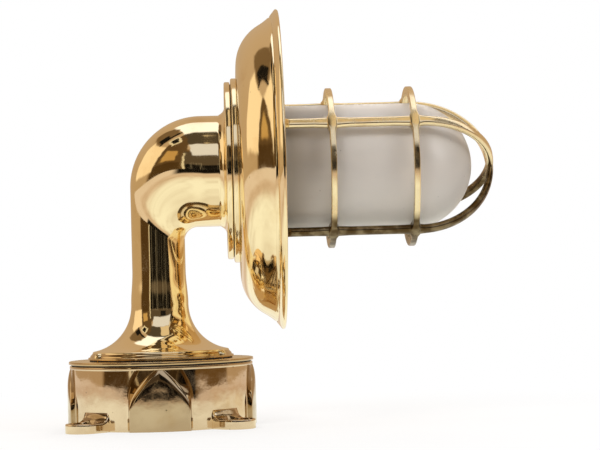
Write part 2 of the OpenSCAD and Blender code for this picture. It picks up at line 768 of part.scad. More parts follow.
module holder_bracket() {
    color(brass) difference() {
        on_head() translate([0, 0, body_face]) ring(bracket_r, bracket_hole_r, bracket_t);
        at_bracket_screws() translate([0, 0, body_face - cut])
            cylinder(r = bracket_screw_r + hole_gap, h = bracket_t + 2 * cut);
        at_holder_screws() translate([0, 0, body_face - cut])
            cylinder(r = bracket_screw_r + hole_gap, h = bracket_t + 2 * cut);
    }
}

module bracket_screws() {
    color(brass) at_bracket_screws() translate([0, 0, bracket_face])
        slot_screw(bracket_head_r, bracket_head_h, bracket_screw_r, bracket_t + bracket_tap - seat_gap);
}

module lampholder() {
    color(porcelain) difference() {
        on_head() rotate_extrude() polygon([
            [0, bracket_face], [holder_r, bracket_face], [holder_r, bracket_face + holder_base_l],
            [holder_r - holder_step, bracket_face + holder_base_l + holder_step],
            [holder_r - holder_step, holder_end - edge], [holder_r - holder_step - edge, holder_end],
            [shell_r + hole_gap, holder_end], [shell_r + hole_gap, bracket_face + holder_floor],
            [0, bracket_face + holder_floor]]);
        at_holder_screws() translate([0, 0, bracket_face - cut])
            cylinder(r = bracket_screw_r + hole_gap, h = holder_tap + cut);
    }
}

module holder_screws() {
    color(brass) at_holder_screws() translate([0, 0, body_face]) mirror([0, 0, 1])
        slot_screw(holder_head_r, bracket_head_h, bracket_screw_r, bracket_t + holder_tap - seat_gap);
}

module holder_shell() {
    color(brass) on_head() translate([0, 0, bracket_face + holder_floor])
        ring(shell_r, shell_r - shell_t, holder_l - holder_floor - edge);
}

module centre_contact() {
    color(brass) on_head() translate([0, 0, bracket_face + holder_floor])
        cylinder(r = contact_r, h = contact_t);
}

module bulb_cap() {
    color("silver") on_head() rotate_extrude() polygon([
        [0, cap_base], [4.6, cap_base], [4.6, cap_base + 1.5], [cap_r - 1.8, cap_base + 4.5],
        [cap_r, cap_base + 6], [cap_r, cap_end], [stem_r + seat_gap, cap_end],
        [stem_r + seat_gap, cap_end - cap_seat], [0, cap_end - cap_seat]]);
}

module bulb_glass() {
    color(frosted) on_head() rotate_extrude() polygon(concat(
        [[stem_r, cap_end - bulb_foot], [stem_r, cap_end + bulb_neck_l]],
        arc([0, bulb_mid], bulb_r, -bulb_neck_a, 90, 20),
        arc([0, bulb_mid], bulb_r - bulb_wall, 90, -bulb_neck_a, 20),
        [[stem_r - bulb_wall, cap_end + bulb_neck_l], [stem_r - bulb_wall, cap_end - bulb_foot]]));
}

module bulb_filament() {
    color("gray") on_head() {
        translate([0, 0, cap_end - bulb_foot]) cylinder(r = stem_r - bulb_wall - 0.05, h = 1.5);
        translate([0, 0, cap_end - bulb_foot + 0.5]) cylinder(r = 3, h = bulb_mid - cap_end);
        for (s = [-1, 1]) translate([0, 0, bulb_mid - 9]) rotate([0, s * 40, 0])
            cylinder(r = 0.4, h = 13);
        translate([0, 0, bulb_mid]) rotate([0, 0, 12]) rotate_extrude(angle = 336)
            translate([8.4, 0]) circle(r = 0.45, $fn = 16);
    }
}

module globe_gasket() {
    color(rubber) on_head() translate([0, 0, collar_end])
        ring(globe_rim_r + 0.3, collar_r - collar_wall + 0.3, globe_gasket_t);
}

module glass_globe() {
    color(frosted) on_head() rotate_extrude() polygon(concat(
        [[globe_r - globe_wall, globe_base], [globe_rim_r, globe_base], [globe_rim_r, globe_rim_end],
         [globe_r, globe_rim_end]],
        arc([0, globe_dome_x], globe_r, 0, 90, 20),
        arc([0, globe_dome_x], globe_r - globe_wall, 90, 0, 20)));
}

// Section of a guard bar: the first number is along the radius, the second across the bar
module bar_section() {
    round_y = (bar_w - bar_t) / 2;
    for (s = [-1, 1]) translate([0, s * round_y]) circle(d = bar_t);
    translate([-bar_t / 2, -round_y]) square([bar_t, 2 * round_y]);
}

// A guard bar: straight along the globe, then over its end to the hub
module guard_bar() {
    translate([guard_mid_r, 0, base_ring_end - lip_t]) linear_extrude(height = dome_x - base_ring_end + lip_t)
        bar_section();
    translate([0, 0, dome_x]) rotate([90, 0, 0]) rotate_extrude(angle = acos((hub_r - 1) / guard_mid_r))
        translate([guard_mid_r, 0]) bar_section();
}

// The round hub at the tip, where the bars meet
module guard_hub() {
    translate([0, 0, dome_x]) difference() {
        intersection() {
            sphere(r = guard_mid_r + bar_t / 2 + hub_proud);
            cylinder(r = hub_r, h = 2 * guard_r);
        }
        sphere(r = guard_mid_r - bar_t / 2 - hub_proud);
    }
}

// A ring of the guard round the globe
module guard_ring(x) {
    round_r = ring_w / 2;
    translate([0, 0, x]) rotate_extrude() {
        for (r = [guard_r - round_r, guard_r - ring_depth + round_r])
            translate([r, 0]) circle(r = round_r);
        translate([guard_r - ring_depth + round_r, -round_r])
            square([ring_depth - 2 * round_r, 2 * round_r]);
    }
}

module guard() {
    color(brass) on_head() {
        rotate_extrude() polygon([
            [collar_r + thread_gap, base_ring_start], [base_ring_r - edge, base_ring_start],
            [base_ring_r, base_ring_start + edge], [base_ring_r, base_ring_end - edge],
            [base_ring_r - edge, base_ring_end], [globe_r + 1, base_ring_end], [globe_r + 1, lip_x],
            [collar_r + thread_gap, lip_x]]);
        guard_ring(ring_1_x);
        guard_ring(ring_2_x);
        for (i = [0:bar_count - 1]) rotate([0, 0, -90 - bar_angle + 360 * i / bar_count]) guard_bar();
        guard_hub();
    }
}

junction_box();
box_gasket();
box_lid();
foot_gasket();
neck();
foot_screws();
gland_body();
gland_seal();
gland_nut();
terminal_block();
terminal_barrels();
terminal_screws();
block_screw();
earth_screw();
lead_live();
lead_neutral();
flange_gasket();
lamp_body();
shade();
shade_clamp_ring();
flange_screws();
holder_bracket();
bracket_screws();
lampholder();
holder_screws();
holder_shell();
centre_contact();
bulb_cap();
bulb_glass();
bulb_filament();
globe_gasket();
glass_globe();
guard();
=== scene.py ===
"""Looks of a polished brass ship's wall light, built round its CAD frame."""

import math
from types import SimpleNamespace

import bmesh
import bpy
from mathutils import Matrix, Quaternion, Vector


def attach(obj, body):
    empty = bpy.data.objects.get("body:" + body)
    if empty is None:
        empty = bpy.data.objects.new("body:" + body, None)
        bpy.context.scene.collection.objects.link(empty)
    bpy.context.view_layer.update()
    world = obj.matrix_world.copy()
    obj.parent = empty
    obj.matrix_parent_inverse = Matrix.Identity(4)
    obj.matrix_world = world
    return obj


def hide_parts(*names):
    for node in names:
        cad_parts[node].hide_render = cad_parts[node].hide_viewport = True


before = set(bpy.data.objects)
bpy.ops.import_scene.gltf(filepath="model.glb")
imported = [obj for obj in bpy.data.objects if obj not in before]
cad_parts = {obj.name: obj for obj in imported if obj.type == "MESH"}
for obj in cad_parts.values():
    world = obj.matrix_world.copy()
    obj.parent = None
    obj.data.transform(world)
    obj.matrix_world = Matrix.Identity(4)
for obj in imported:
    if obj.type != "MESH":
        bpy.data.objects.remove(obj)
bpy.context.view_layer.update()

bl_info = {
    "name": "Ship's wall light",
    "version": (1, 0, 0),
    "blender": (4, 5, 0),
    "location": "3D View > Sidebar > Wall light",
    "description": "Builds the polished pieces, finishes and studio of a ship's wall light",
    "category": "Object",
}

MM = 0.001
FULL_TURN = 2 * math.pi


# Properties

def length(name, millimetres, text):
    """A length that a user can change, given in millimetres."""
    return bpy.props.FloatProperty(
        name=name, description=text, default=millimetres * MM, min=0, precision=4, unit="LENGTH")


def colour(name, value, text):
    """A colour that a user can change."""
    return bpy.props.FloatVectorProperty(
        name=name, description=text, default=value, min=0, max=1, size=3, subtype="COLOR")


class WallLightSizes(bpy.types.PropertyGroup):
    """Sizes of the light's pieces, in the frame's own places"""

    head_height: length("Lamp axis height", 179.5, "Height of the lamp's axis over the mounting face")
    box_radius: length("Box radius", 63.4, "Outer radius of the junction box's wall")
    box_height: length("Box height", 44, "Height of the junction box's rim")
    rim_reach: length("Rim reach", 1.2, "How far the rim stands out from the wall")
    rim_height: length("Rim height", 1.8, "Height of the rim")
    boss_reach: length("Boss reach", 3.2, "How far an arched boss stands out")
    boss_radius: length("Boss radius", 21.8, "Half the width of an arched boss at its foot")
    lug_circle: length("Lug circle", 74, "Distance from the box's axis to a lug's hole")
    lug_radius: length("Lug radius", 12.6, "Radius of a lug's round end")
    lug_thickness: length("Lug thickness", 6.6, "Thickness of a lug")
    lid_base: length("Lid base", 45, "Height of the lid's underside")
    lid_thickness: length("Lid thickness", 2.2, "Thickness of the lid")
    lid_radius: length("Lid radius", 65.2, "Radius of the lid")
    foot_base: length("Foot base", 48, "Height of the underside of the neck's foot")
    foot_radius: length("Foot radius", 51.5, "Radius of the neck's foot")
    foot_top_radius: length("Foot top radius", 47.2, "Radius where the foot meets the trumpet")
    foot_height: length("Foot height", 5.6, "Height of the foot's edge")
    neck_radius: length("Neck radius", 18.9, "Radius of the neck where it is slimmest")
    trumpet_radius: length("Trumpet radius", 32.5, "Radius of the hollow sweep over the foot")
    neck_wall: length("Neck wall", 3.6, "Thickness of the neck's wall")
    bend_radius: length("Bend radius", 50.4, "Radius of the outside of the bend")
    corner_radius: length("Corner radius", 9.5, "Radius of the inside corner of the bend")
    outlet_radius: length("Outlet radius", 39.4, "Radius of the neck at its outlet")
    outlet_place: length("Outlet place", 49.3, "Place of the back of the outlet flange")
    outlet_flange: length("Outlet flange radius", 63, "Radius of the outlet flange")
    body_flange: length("Body flange radius", 65.5, "Radius of the lamp body's flange")
    collar_radius: length("Collar radius", 50, "Radius of the collar that carries the guard")
    shade_radius: length("Shade radius", 113.8, "Radius of the shade at its rim")
    shade_sheet: length("Shade sheet", 1.4, "Thickness of the shade's sheet")
    hem_width: length("Hem width", 4.3, "Width of the shade's folded rim")
    globe_radius: length("Globe radius", 45, "Outer radius of the glass globe")
    globe_wall: length("Globe wall", 4, "Thickness of the glass")
    globe_tip: length("Globe tip", 224.6, "Place of the tip of the globe")
    guard_radius: length("Guard radius", 57, "Outer radius of the guard's rings")
    guard_tip: length("Guard tip", 240.5, "Place of the tip of the guard")
    bar_width: length("Bar width", 6.6, "Width of a guard bar")
    bar_thickness: length("Bar thickness", 5, "Thickness of a guard bar")


class WallLightColours(bpy.types.PropertyGroup):
    """Colours of the light's finishes"""

    brass: colour("Polished brass", (0.93, 0.78, 0.50), "Colour of the polished castings")
    pale_brass: colour("Cast brass", (0.76, 0.615, 0.425), "Colour of the junction box's casting")
    # Also the colour of the painted shade on the lug coves, bosses, rim, foot edge, lid edge and guard underside
    tarnish_and_shade: colour("Tarnish", (0.62, 0.38, 0.14), "Colour of thin tarnish on the brass")
    frost: colour("Frosted glass", (0.90, 0.85, 0.79), "Colour of the etched glass")
    rubber: colour("Rubber", (0.03, 0.028, 0.026), "Colour of the rubber rings")
    floor: colour("Floor", (0.92, 0.91, 0.89), "Colour of the studio floor")


def sizes(context):
    """The sizes in millimetres."""
    group = context.scene.wall_light_sizes
    return SimpleNamespace(**{name: getattr(group, name) / MM for name in WallLightSizes.__annotations__})


# Making meshes

def rounded(corners, steps=4):
    """An outline from corners of (across, along, radius), each rounded by an arc of that radius."""
    points = []
    count = len(corners)
    for i, (across, along, radius) in enumerate(corners):
        here = Vector((across, along))
        if radius <= 0:
            points.append(here)
            continue
        back = (Vector(corners[i - 1][:2]) - here).normalized()
        ahead = (Vector(corners[(i + 1) % count][:2]) - here).normalized()
        half = back.angle(ahead) / 2
        reach = radius / math.tan(half)
        centre = here + (back + ahead).normalized() * radius / math.sin(half)
        start = here + back * reach - centre
        end = here + ahead * reach - centre
        turn = start.angle_signed(end)
        for step in range(steps + 1):
            arm = start.copy()
            arm.rotate(Matrix.Rotation(-turn * step / steps, 2))
            points.append(centre + arm)
    return points


def arc(centre, radius, start, end, steps):
    """Points of an arc, with its angles in degrees."""
    points = []
    for step in range(steps + 1):
        angle = math.radians(start + (end - start) * step / steps)
        points.append(Vector((centre[0] + radius * math.cos(angle), centre[1] + radius * math.sin(angle))))
    return points


def spin_upright(bm, outline, steps=160, closed=True, centre=(0, 0)):
    """Spins an outline of (radius, height) round an upright axis."""
    verts = [bm.verts.new((centre[0] + r, centre[1], z)) for r, z in outline]
    spin(bm, verts, (centre[0], centre[1], 0), (0, 0, 1), steps, closed)
    return verts


def spin_on_head(bm, outline, head, steps=160, closed=True):
    """Spins an outline of (radius, place along the lamp's axis) round that axis."""
    verts = [bm.verts.new((x, 0, head + r)) for r, x in outline]
    spin(bm, verts, (0, 0, head), (1, 0, 0), steps, closed)
    return verts


def spin(bm, verts, centre, axis, steps, closed):
    """Joins vertices into a chain and spins it once round an axis."""
    ends = verts[1:] + verts[:1] if closed else verts[1:]
    edges = [bm.edges.new(pair) for pair in zip(verts, ends)]
    bmesh.ops.spin(bm, geom=verts + edges, cent=centre, axis=axis, dvec=(0, 0, 0),
                   angle=FULL_TURN, steps=steps, use_merge=True, use_duplicate=False)


def stack(bm, rings, segments, joined=False):
    """Bridges rings into a skin. A ring is its centre, its two directions and its radius in each."""
    loops = []
    for centre, across, along, radius, half_width in rings:
        across, along = Vector(across).normalized(), Vector(along).normalized()
        turn = Matrix((across, along, across.cross(along))).transposed().to_4x4()
        made = bmesh.ops.create_circle(
            bm, cap_ends=False, segments=segments, radius=1.0,
            matrix=Matrix.Translation(Vector(centre)) @ turn @ Matrix.Diagonal((radius, half_width, 1, 1)))
        loops.append(list({edge for vert in made["verts"] for edge in vert.link_edges}))
    for i in range(len(loops) - 1):
        bmesh.ops.bridge_loops(bm, edges=loops[i] + loops[i + 1])
    if joined:
        bmesh.ops.bridge_loops(bm, edges=loops[-1] + loops[0])
    return loops


def place_piece(name, bm, body, finish, replaced=()):
    """Turns a bmesh drawn in millimetres into a finished piece of the light."""
    bmesh.ops.remove_doubles(bm, verts=bm.verts, dist=0.002)
    bmesh.ops.recalc_face_normals(bm, faces=bm.faces)
    bmesh.ops.scale(bm, vec=(MM, MM, MM), verts=bm.verts)
    for face in bm.faces:
        face.smooth = True
    mesh = bpy.data.meshes.new(name)
    bm.to_mesh(mesh)
    bm.free()
    piece = bpy.data.objects.new(name, mesh)
    bpy.context.scene.collection.objects.link(piece)
    mesh.materials.append(finish)
    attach(piece, body)
    if replaced:
        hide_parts(*replaced)
    return piece


# Finishes

class Sheet:
    """A material's or world's node tree, with short ways to add and join nodes."""

    def __init__(self, tree):
        self.tree = tree
        self.tree.nodes.clear()

    def node(self, kind, values=None, **settings):
        """Adds a node, with settings on it and values or links for its inputs."""
        made = self.tree.nodes.new(kind)
        for key, value in settings.items():
            setattr(made, key, value)
        for key, value in (values or {}).items():
            self.feed(made.inputs[key], value)
        return made

    def feed(self, socket, value):
        """Sets a socket, or joins it to another node's output."""
        if isinstance(value, bpy.types.NodeSocket):
            self.tree.links.new(value, socket)
        else:
            socket.default_value = value

    def maths(self, operation, first, second=0.0, third=0.0):
        """A Math node's result."""
        made = self.node("ShaderNodeMath", {0: first, 1: second, 2: third}, operation=operation)
        return made.outputs[0]

    def ramp(self, value, low, high, out_low=0.0, out_high=1.0):
        """A value moved from one range to another, with soft ends."""
        made = self.node("ShaderNodeMapRange",
                         {"Value": value, "From Min": low, "From Max": high,
                          "To Min": out_low, "To Max": out_high},
                         interpolation_type="SMOOTHSTEP")
        return made.outputs["Result"]

    def blend(self, factor, first, second):
        """A colour between two others."""
        made = self.node("ShaderNodeMix", data_type="RGBA")
        self.feed(made.inputs[0], factor)
        self.feed(made.inputs[6], first)
        self.feed(made.inputs[7], second)
        return made.outputs[2]

    def noise(self, vector, scale, detail=2.0, rough=0.5):
        """A noise texture's value."""
        made = self.node("ShaderNodeTexNoise",
                         {"Vector": vector, "Scale": scale, "Detail": detail, "Roughness": rough})
        return made.outputs["Fac"]


def rgba(value):
    """A colour with its alpha."""
    return (value[0], value[1], value[2], 1.0)


def new_material(name):
    """An empty material and its sheet."""
    material = bpy.data.materials.new(name + "_finish")
    material.use_nodes = True
    return material, Sheet(material.node_tree)


def brass_finish(name, base, tarnish_and_shade, roughness=0.05, wave=0.00025, wave_scale=34.0,
                 scratch=0.5, stain=0.35, pits=0.0, lathe=None, draw=(1.0, 1.0, 1.0), underside_shade=None, grime_and_shade=None,
                 bosses=None, edge=None, foot=None):
    """Polished brass with soft waviness, fine scratches, thin stains and a few pits, plus painted shade on the places
    that are asked for.
    """
    material, sheet = new_material(name)
    place = sheet.node("ShaderNodeTexCoord").outputs["Object"]
    clouds = sheet.noise(place, 26.0, 4.0, 0.6)
    stains = sheet.ramp(clouds, 0.52, 0.78, 0.0, stain)
    shade = sheet.blend(stains, rgba(base), rgba(tarnish_and_shade))
    # Darkens the lugs' countersinks and the cove where each lug meets the wall: partly real grime, partly painted
    # shade in these recesses
    if grime_and_shade:
        hole, sink, top = grime_and_shade
        parts = sheet.node("ShaderNodeSeparateXYZ", {"Vector": place}).outputs
        from_hole = [sheet.maths("SUBTRACT", sheet.maths("ABSOLUTE", parts[axis]), hole) for axis in "XY"]
        away = sheet.maths("SQRT", sheet.maths("ADD", sheet.maths("MULTIPLY", from_hole[0], from_hole[0]),
                                               sheet.maths("MULTIPLY", from_hole[1], from_hole[1])))
        in_sink = sheet.ramp(away, sink - 0.0002, sink + 0.0002, 1.0, 0.0)
        in_cove = sheet.maths("MULTIPLY", sheet.ramp(away, 0.0135, 0.015, 1.0, 0.0),
                              sheet.ramp(parts["Z"], top + 0.0004, top + 0.0012))
        in_cove = sheet.maths("MULTIPLY", in_cove, sheet.ramp(parts["Z"], top + 0.0045, top + 0.0075, 1.0, 0.0))
        patchiness = sheet.ramp(sheet.noise(place, 160.0, 3.0), 0.3, 0.6, 0.5, 0.85)
        shade = sheet.blend(sheet.maths("MULTIPLY", sheet.maths("MAXIMUM", in_sink, in_cove), patchiness), shade,
                            rgba([c * 0.4 for c in tarnish_and_shade]))
    # Painted shade: dark brown on the guard's underside and the lower half of its tip, standing in for the shadowed
    # floor it reflects
    if underside_shade:
        low, tip, head = underside_shade
        parts = sheet.node("ShaderNodeSeparateXYZ", {"Vector": place}).outputs
        under = sheet.ramp(parts["Z"], head - low, head - low + 0.008, 1.0, 0.0)
        end = sheet.maths("MULTIPLY", sheet.ramp(parts["X"], tip - 0.035, tip - 0.015),
                          sheet.ramp(parts["Z"], head - 0.008, head + 0.006, 1.0, 0.0))
        patchiness = sheet.ramp(sheet.noise(place, 130.0, 3.0), 0.3, 0.6, 0.8, 1.0)
        shade = sheet.blend(sheet.maths("MULTIPLY", sheet.maths("MAXIMUM", under, end), patchiness), shade,
                            rgba([c * 0.14 for c in tarnish_and_shade]))
    # Painted shade: the boss faces are dulled in place of a reflected shaded table, the flanks browned like dark
    # reflections, and the rim under the lid darkened
    if bosses:
        wall, half, top = bosses
        parts = sheet.node("ShaderNodeSeparateXYZ", {"Vector": place}).outputs
        turn = sheet.maths("WRAP", sheet.maths("ARCTAN2", parts["Y"], parts["X"]), math.pi / 4, -math.pi / 4)
        run = sheet.maths("MULTIPLY", sheet.maths("ABSOLUTE", turn), wall)
        arches = []
        for width, spring, bend in ((half - 0.0015, 0.013, 21.0), (half, 0.020, 12.5)):
            over = sheet.maths("MAXIMUM", 0.0, sheet.maths("SUBTRACT", parts["Z"], spring))
            arches.append(sheet.maths("SUBTRACT", width, sheet.maths("MULTIPLY", bend,
                                                                     sheet.maths("MULTIPLY", over, over))))
        gaps = [sheet.maths("SUBTRACT", run, arch) for arch in arches]
        below = sheet.ramp(parts["Z"], top - 0.0003, top, 1.0, 0.0)
        on_face = sheet.maths("MULTIPLY", sheet.ramp(gaps[0], -0.0006, 0.0002, 1.0, 0.0), below)
        on_flank = sheet.maths("MULTIPLY", sheet.ramp(gaps[0], -0.0003, 0.0003),
                               sheet.maths("MULTIPLY", sheet.ramp(gaps[1], -0.0003, 0.0004, 1.0, 0.0), below))
        patchiness = sheet.ramp(sheet.noise(place, 120.0, 3.0), 0.3, 0.65, 0.7, 1.0)
        shade = sheet.blend(sheet.maths("MULTIPLY", on_face, 0.68), shade, (0.41, 0.30, 0.165, 1.0))
        shade = sheet.blend(sheet.maths("MULTIPLY", on_flank, patchiness), shade, rgba([c * 0.5 for c in tarnish_and_shade]))
        shade = sheet.blend(sheet.ramp(parts["Z"], top, top + 0.0004, 0.0, 0.5), shade,
                            rgba([c * 0.7 for c in tarnish_and_shade]))
    # Painted shade: a brown band on the foot's stepped edge, copying its dark reflection
    if foot:
        height = sheet.node("ShaderNodeSeparateXYZ", {"Vector": place}).outputs["Z"]
        shade = sheet.blend(sheet.ramp(height, foot - 0.0006, foot, 0.65, 0.0), shade,
                            rgba([c * 0.8 for c in tarnish_and_shade]))
    grease = sheet.noise(place, 90.0, 5.0, 0.7)
    rough = sheet.ramp(grease, 0.35, 0.8, roughness * 0.75, roughness * 2.1)
    drawn = sheet.node("ShaderNodeMapping", {"Vector": place, "Scale": draw}).outputs[0]
    swell = sheet.maths("ADD", sheet.noise(drawn, wave_scale, 1.5, 0.4),
                        sheet.maths("MULTIPLY", sheet.noise(drawn, wave_scale * 5, 2.0), 0.05))
    bump = sheet.node("ShaderNodeBump", {"Height": swell, "Strength": 1.0, "Distance": wave})
    stretched = sheet.node("ShaderNodeMapping", {"Vector": place, "Rotation": (0.5, 0.3, 0.9),
                                                 "Scale": (1600.0, 90.0, 1100.0)}).outputs[0]
    lines = sheet.ramp(sheet.noise(stretched, 1.0, 1.0), 0.62, 0.78)
    crossed = sheet.node("ShaderNodeMapping", {"Vector": place, "Rotation": (1.2, 0.8, 0.2),
                                               "Scale": (1300.0, 1500.0, 70.0)}).outputs[0]
    more = sheet.ramp(sheet.noise(crossed, 1.0, 1.0), 0.64, 0.8)
    height = sheet.maths("ADD", lines, more)
    if pits:
        cells = sheet.node("ShaderNodeTexVoronoi", {"Vector": place, "Scale": 150.0})
        spot = sheet.ramp(cells.outputs["Distance"], 0.05, 0.11, 1.0, 0.0)
        chosen = sheet.ramp(sheet.noise(place, 60.0), 0.52, 0.6)
        pit = sheet.maths("MULTIPLY", spot, chosen)
        shade = sheet.blend(sheet.maths("MULTIPLY", pit, pits), shade, rgba([c * 0.25 for c in tarnish_and_shade]))
        height = sheet.maths("ADD", height, sheet.maths("MULTIPLY", pit, 6.0))
    if lathe:
        axis, centre = lathe
        parts = sheet.node("ShaderNodeSeparateXYZ", {"Vector": place}).outputs
        one, two = (parts["Y"], parts["Z"]) if axis == "X" else (parts["X"], parts["Y"])
        two = sheet.maths("SUBTRACT", two, centre)
        away = sheet.maths("SQRT", sheet.maths("ADD", sheet.maths("MULTIPLY", one, one),
                                               sheet.maths("MULTIPLY", two, two)))
        turned = sheet.noise(sheet.node("ShaderNodeCombineXYZ", {"X": away}).outputs[0], 900.0, 2.0)
        # Painted shade: brown on the outermost edge of a turned plate, copying the lid edge's dark reflection
        if edge:
            shade = sheet.blend(sheet.ramp(away, edge - 0.0007, edge, 0.0, 0.6), shade,
                                rgba([c * 0.7 for c in tarnish_and_shade]))
        height = sheet.maths("ADD", height, sheet.maths("MULTIPLY", turned, 0.8))
    fine = sheet.node("ShaderNodeBump", {"Height": height, "Strength": scratch, "Distance": -0.000004,
                                         "Normal": bump.outputs[0]})
    shader = sheet.node("ShaderNodeBsdfPrincipled",
                        {"Base Color": shade, "Metallic": 1.0, "Roughness": rough,
                         "Normal": fine.outputs[0]})
    sheet.node("ShaderNodeOutputMaterial", {"Surface": shader.outputs[0]})
    return material


def plain_finish(name, base, roughness, metallic=0.0, grain=400.0, depth=0.00003, spread=0.15):
    """A moulded, glazed or drawn surface with a fine grain and slight changes of colour."""
    material, sheet = new_material(name)
    place = sheet.node("ShaderNodeTexCoord").outputs["Object"]
    clouds = sheet.noise(place, 45.0, 3.0)
    dark = [c * (1 - spread) for c in base]
    shade = sheet.blend(clouds, rgba(base), rgba(dark))
    rough = sheet.ramp(sheet.noise(place, grain / 3), 0.3, 0.7, roughness * 0.8, min(1.0, roughness * 1.2))
    bump = sheet.node("ShaderNodeBump", {"Height": sheet.noise(place, grain), "Strength": 0.6,
                                         "Distance": depth})
    shader = sheet.node("ShaderNodeBsdfPrincipled",
                        {"Base Color": shade, "Metallic": metallic, "Roughness": rough,
                         "Normal": bump.outputs[0]})
    sheet.node("ShaderNodeOutputMaterial", {"Surface": shader.outputs[0]})
    return material


def frosted_finish(name, base):
    """Etched glass: milky, with faint clouds and specks of dust, painted light paler below, painted shade towards its
    end, and a brown painted reflection of the brass shade by its mouth.
    """
    material, sheet = new_material(name)
    place = sheet.node("ShaderNodeTexCoord").outputs["Object"]
    clouds = sheet.noise(place, 16.0, 3.0)
    shade = sheet.blend(sheet.ramp(clouds, 0.35, 0.75, 0.0, 0.5), rgba(base), rgba([c * 0.9 for c in base]))
    cells = sheet.node("ShaderNodeTexVoronoi", {"Vector": place, "Scale": 130.0})
    specks = sheet.ramp(cells.outputs["Distance"], 0.03, 0.07, 0.8, 0.0)
    shade = sheet.blend(specks, shade, (0.35, 0.33, 0.31, 1.0))
    parts = sheet.node("ShaderNodeSeparateXYZ", {"Vector": place}).outputs
    # Painted light and shade: paler low down, greyer at the end, and brown near the mouth where the brass shade would
    # reflect
    shade = sheet.blend(sheet.ramp(parts["Z"], 0.136, 0.172, 0.75, 0.0), shade, (1.0, 0.97, 0.90, 1.0))
    shade = sheet.blend(sheet.ramp(parts["X"], 0.185, 0.215, 0.0, 0.3), shade, (0.60, 0.55, 0.48, 1.0))
    shade = sheet.blend(sheet.ramp(parts["X"], 0.083, 0.118, 0.85, 0.0), shade, (0.36, 0.28, 0.17, 1.0))
    bump = sheet.node("ShaderNodeBump", {"Height": sheet.noise(place, 1400.0), "Strength": 0.35,
                                         "Distance": 0.00002})
    rough = sheet.ramp(sheet.noise(place, 60.0, 3.0), 0.3, 0.75, 0.30, 0.44)
    shader = sheet.node("ShaderNodeBsdfPrincipled",
                        {"Base Color": shade, "Roughness": rough, "Normal": bump.outputs[0],
                         "Transmission Weight": 0.50, "IOR": 1.46})
    sheet.node("ShaderNodeOutputMaterial", {"Surface": shader.outputs[0]})
    return material


def clear_finish(name, base, roughness=0.02):
    """Clear blown glass."""
    material, sheet = new_material(name)
    place = sheet.node("ShaderNodeTexCoord").outputs["Object"]
    rough = sheet.ramp(sheet.noise(place, 70.0), 0.3, 0.8, roughness, roughness * 3)
    shader = sheet.node("ShaderNodeBsdfPrincipled",
                        {"Base Color": rgba(base), "Roughness": rough, "Transmission Weight": 1.0,
                         "IOR": 1.46})
    sheet.node("ShaderNodeOutputMaterial", {"Surface": shader.outputs[0]})
    return material


def finish(name):
    """A finish made by the finishes operator."""
    return bpy.data.materials[name + "_finish"]


def dress_node(node, finish_name):
    """Gives a CAD node its finish, in every material slot it has."""
    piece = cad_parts[node]
    if not piece.material_slots:
        piece.data.materials.append(finish(finish_name))
    for place in piece.material_slots:
        place.material = finish(finish_name)


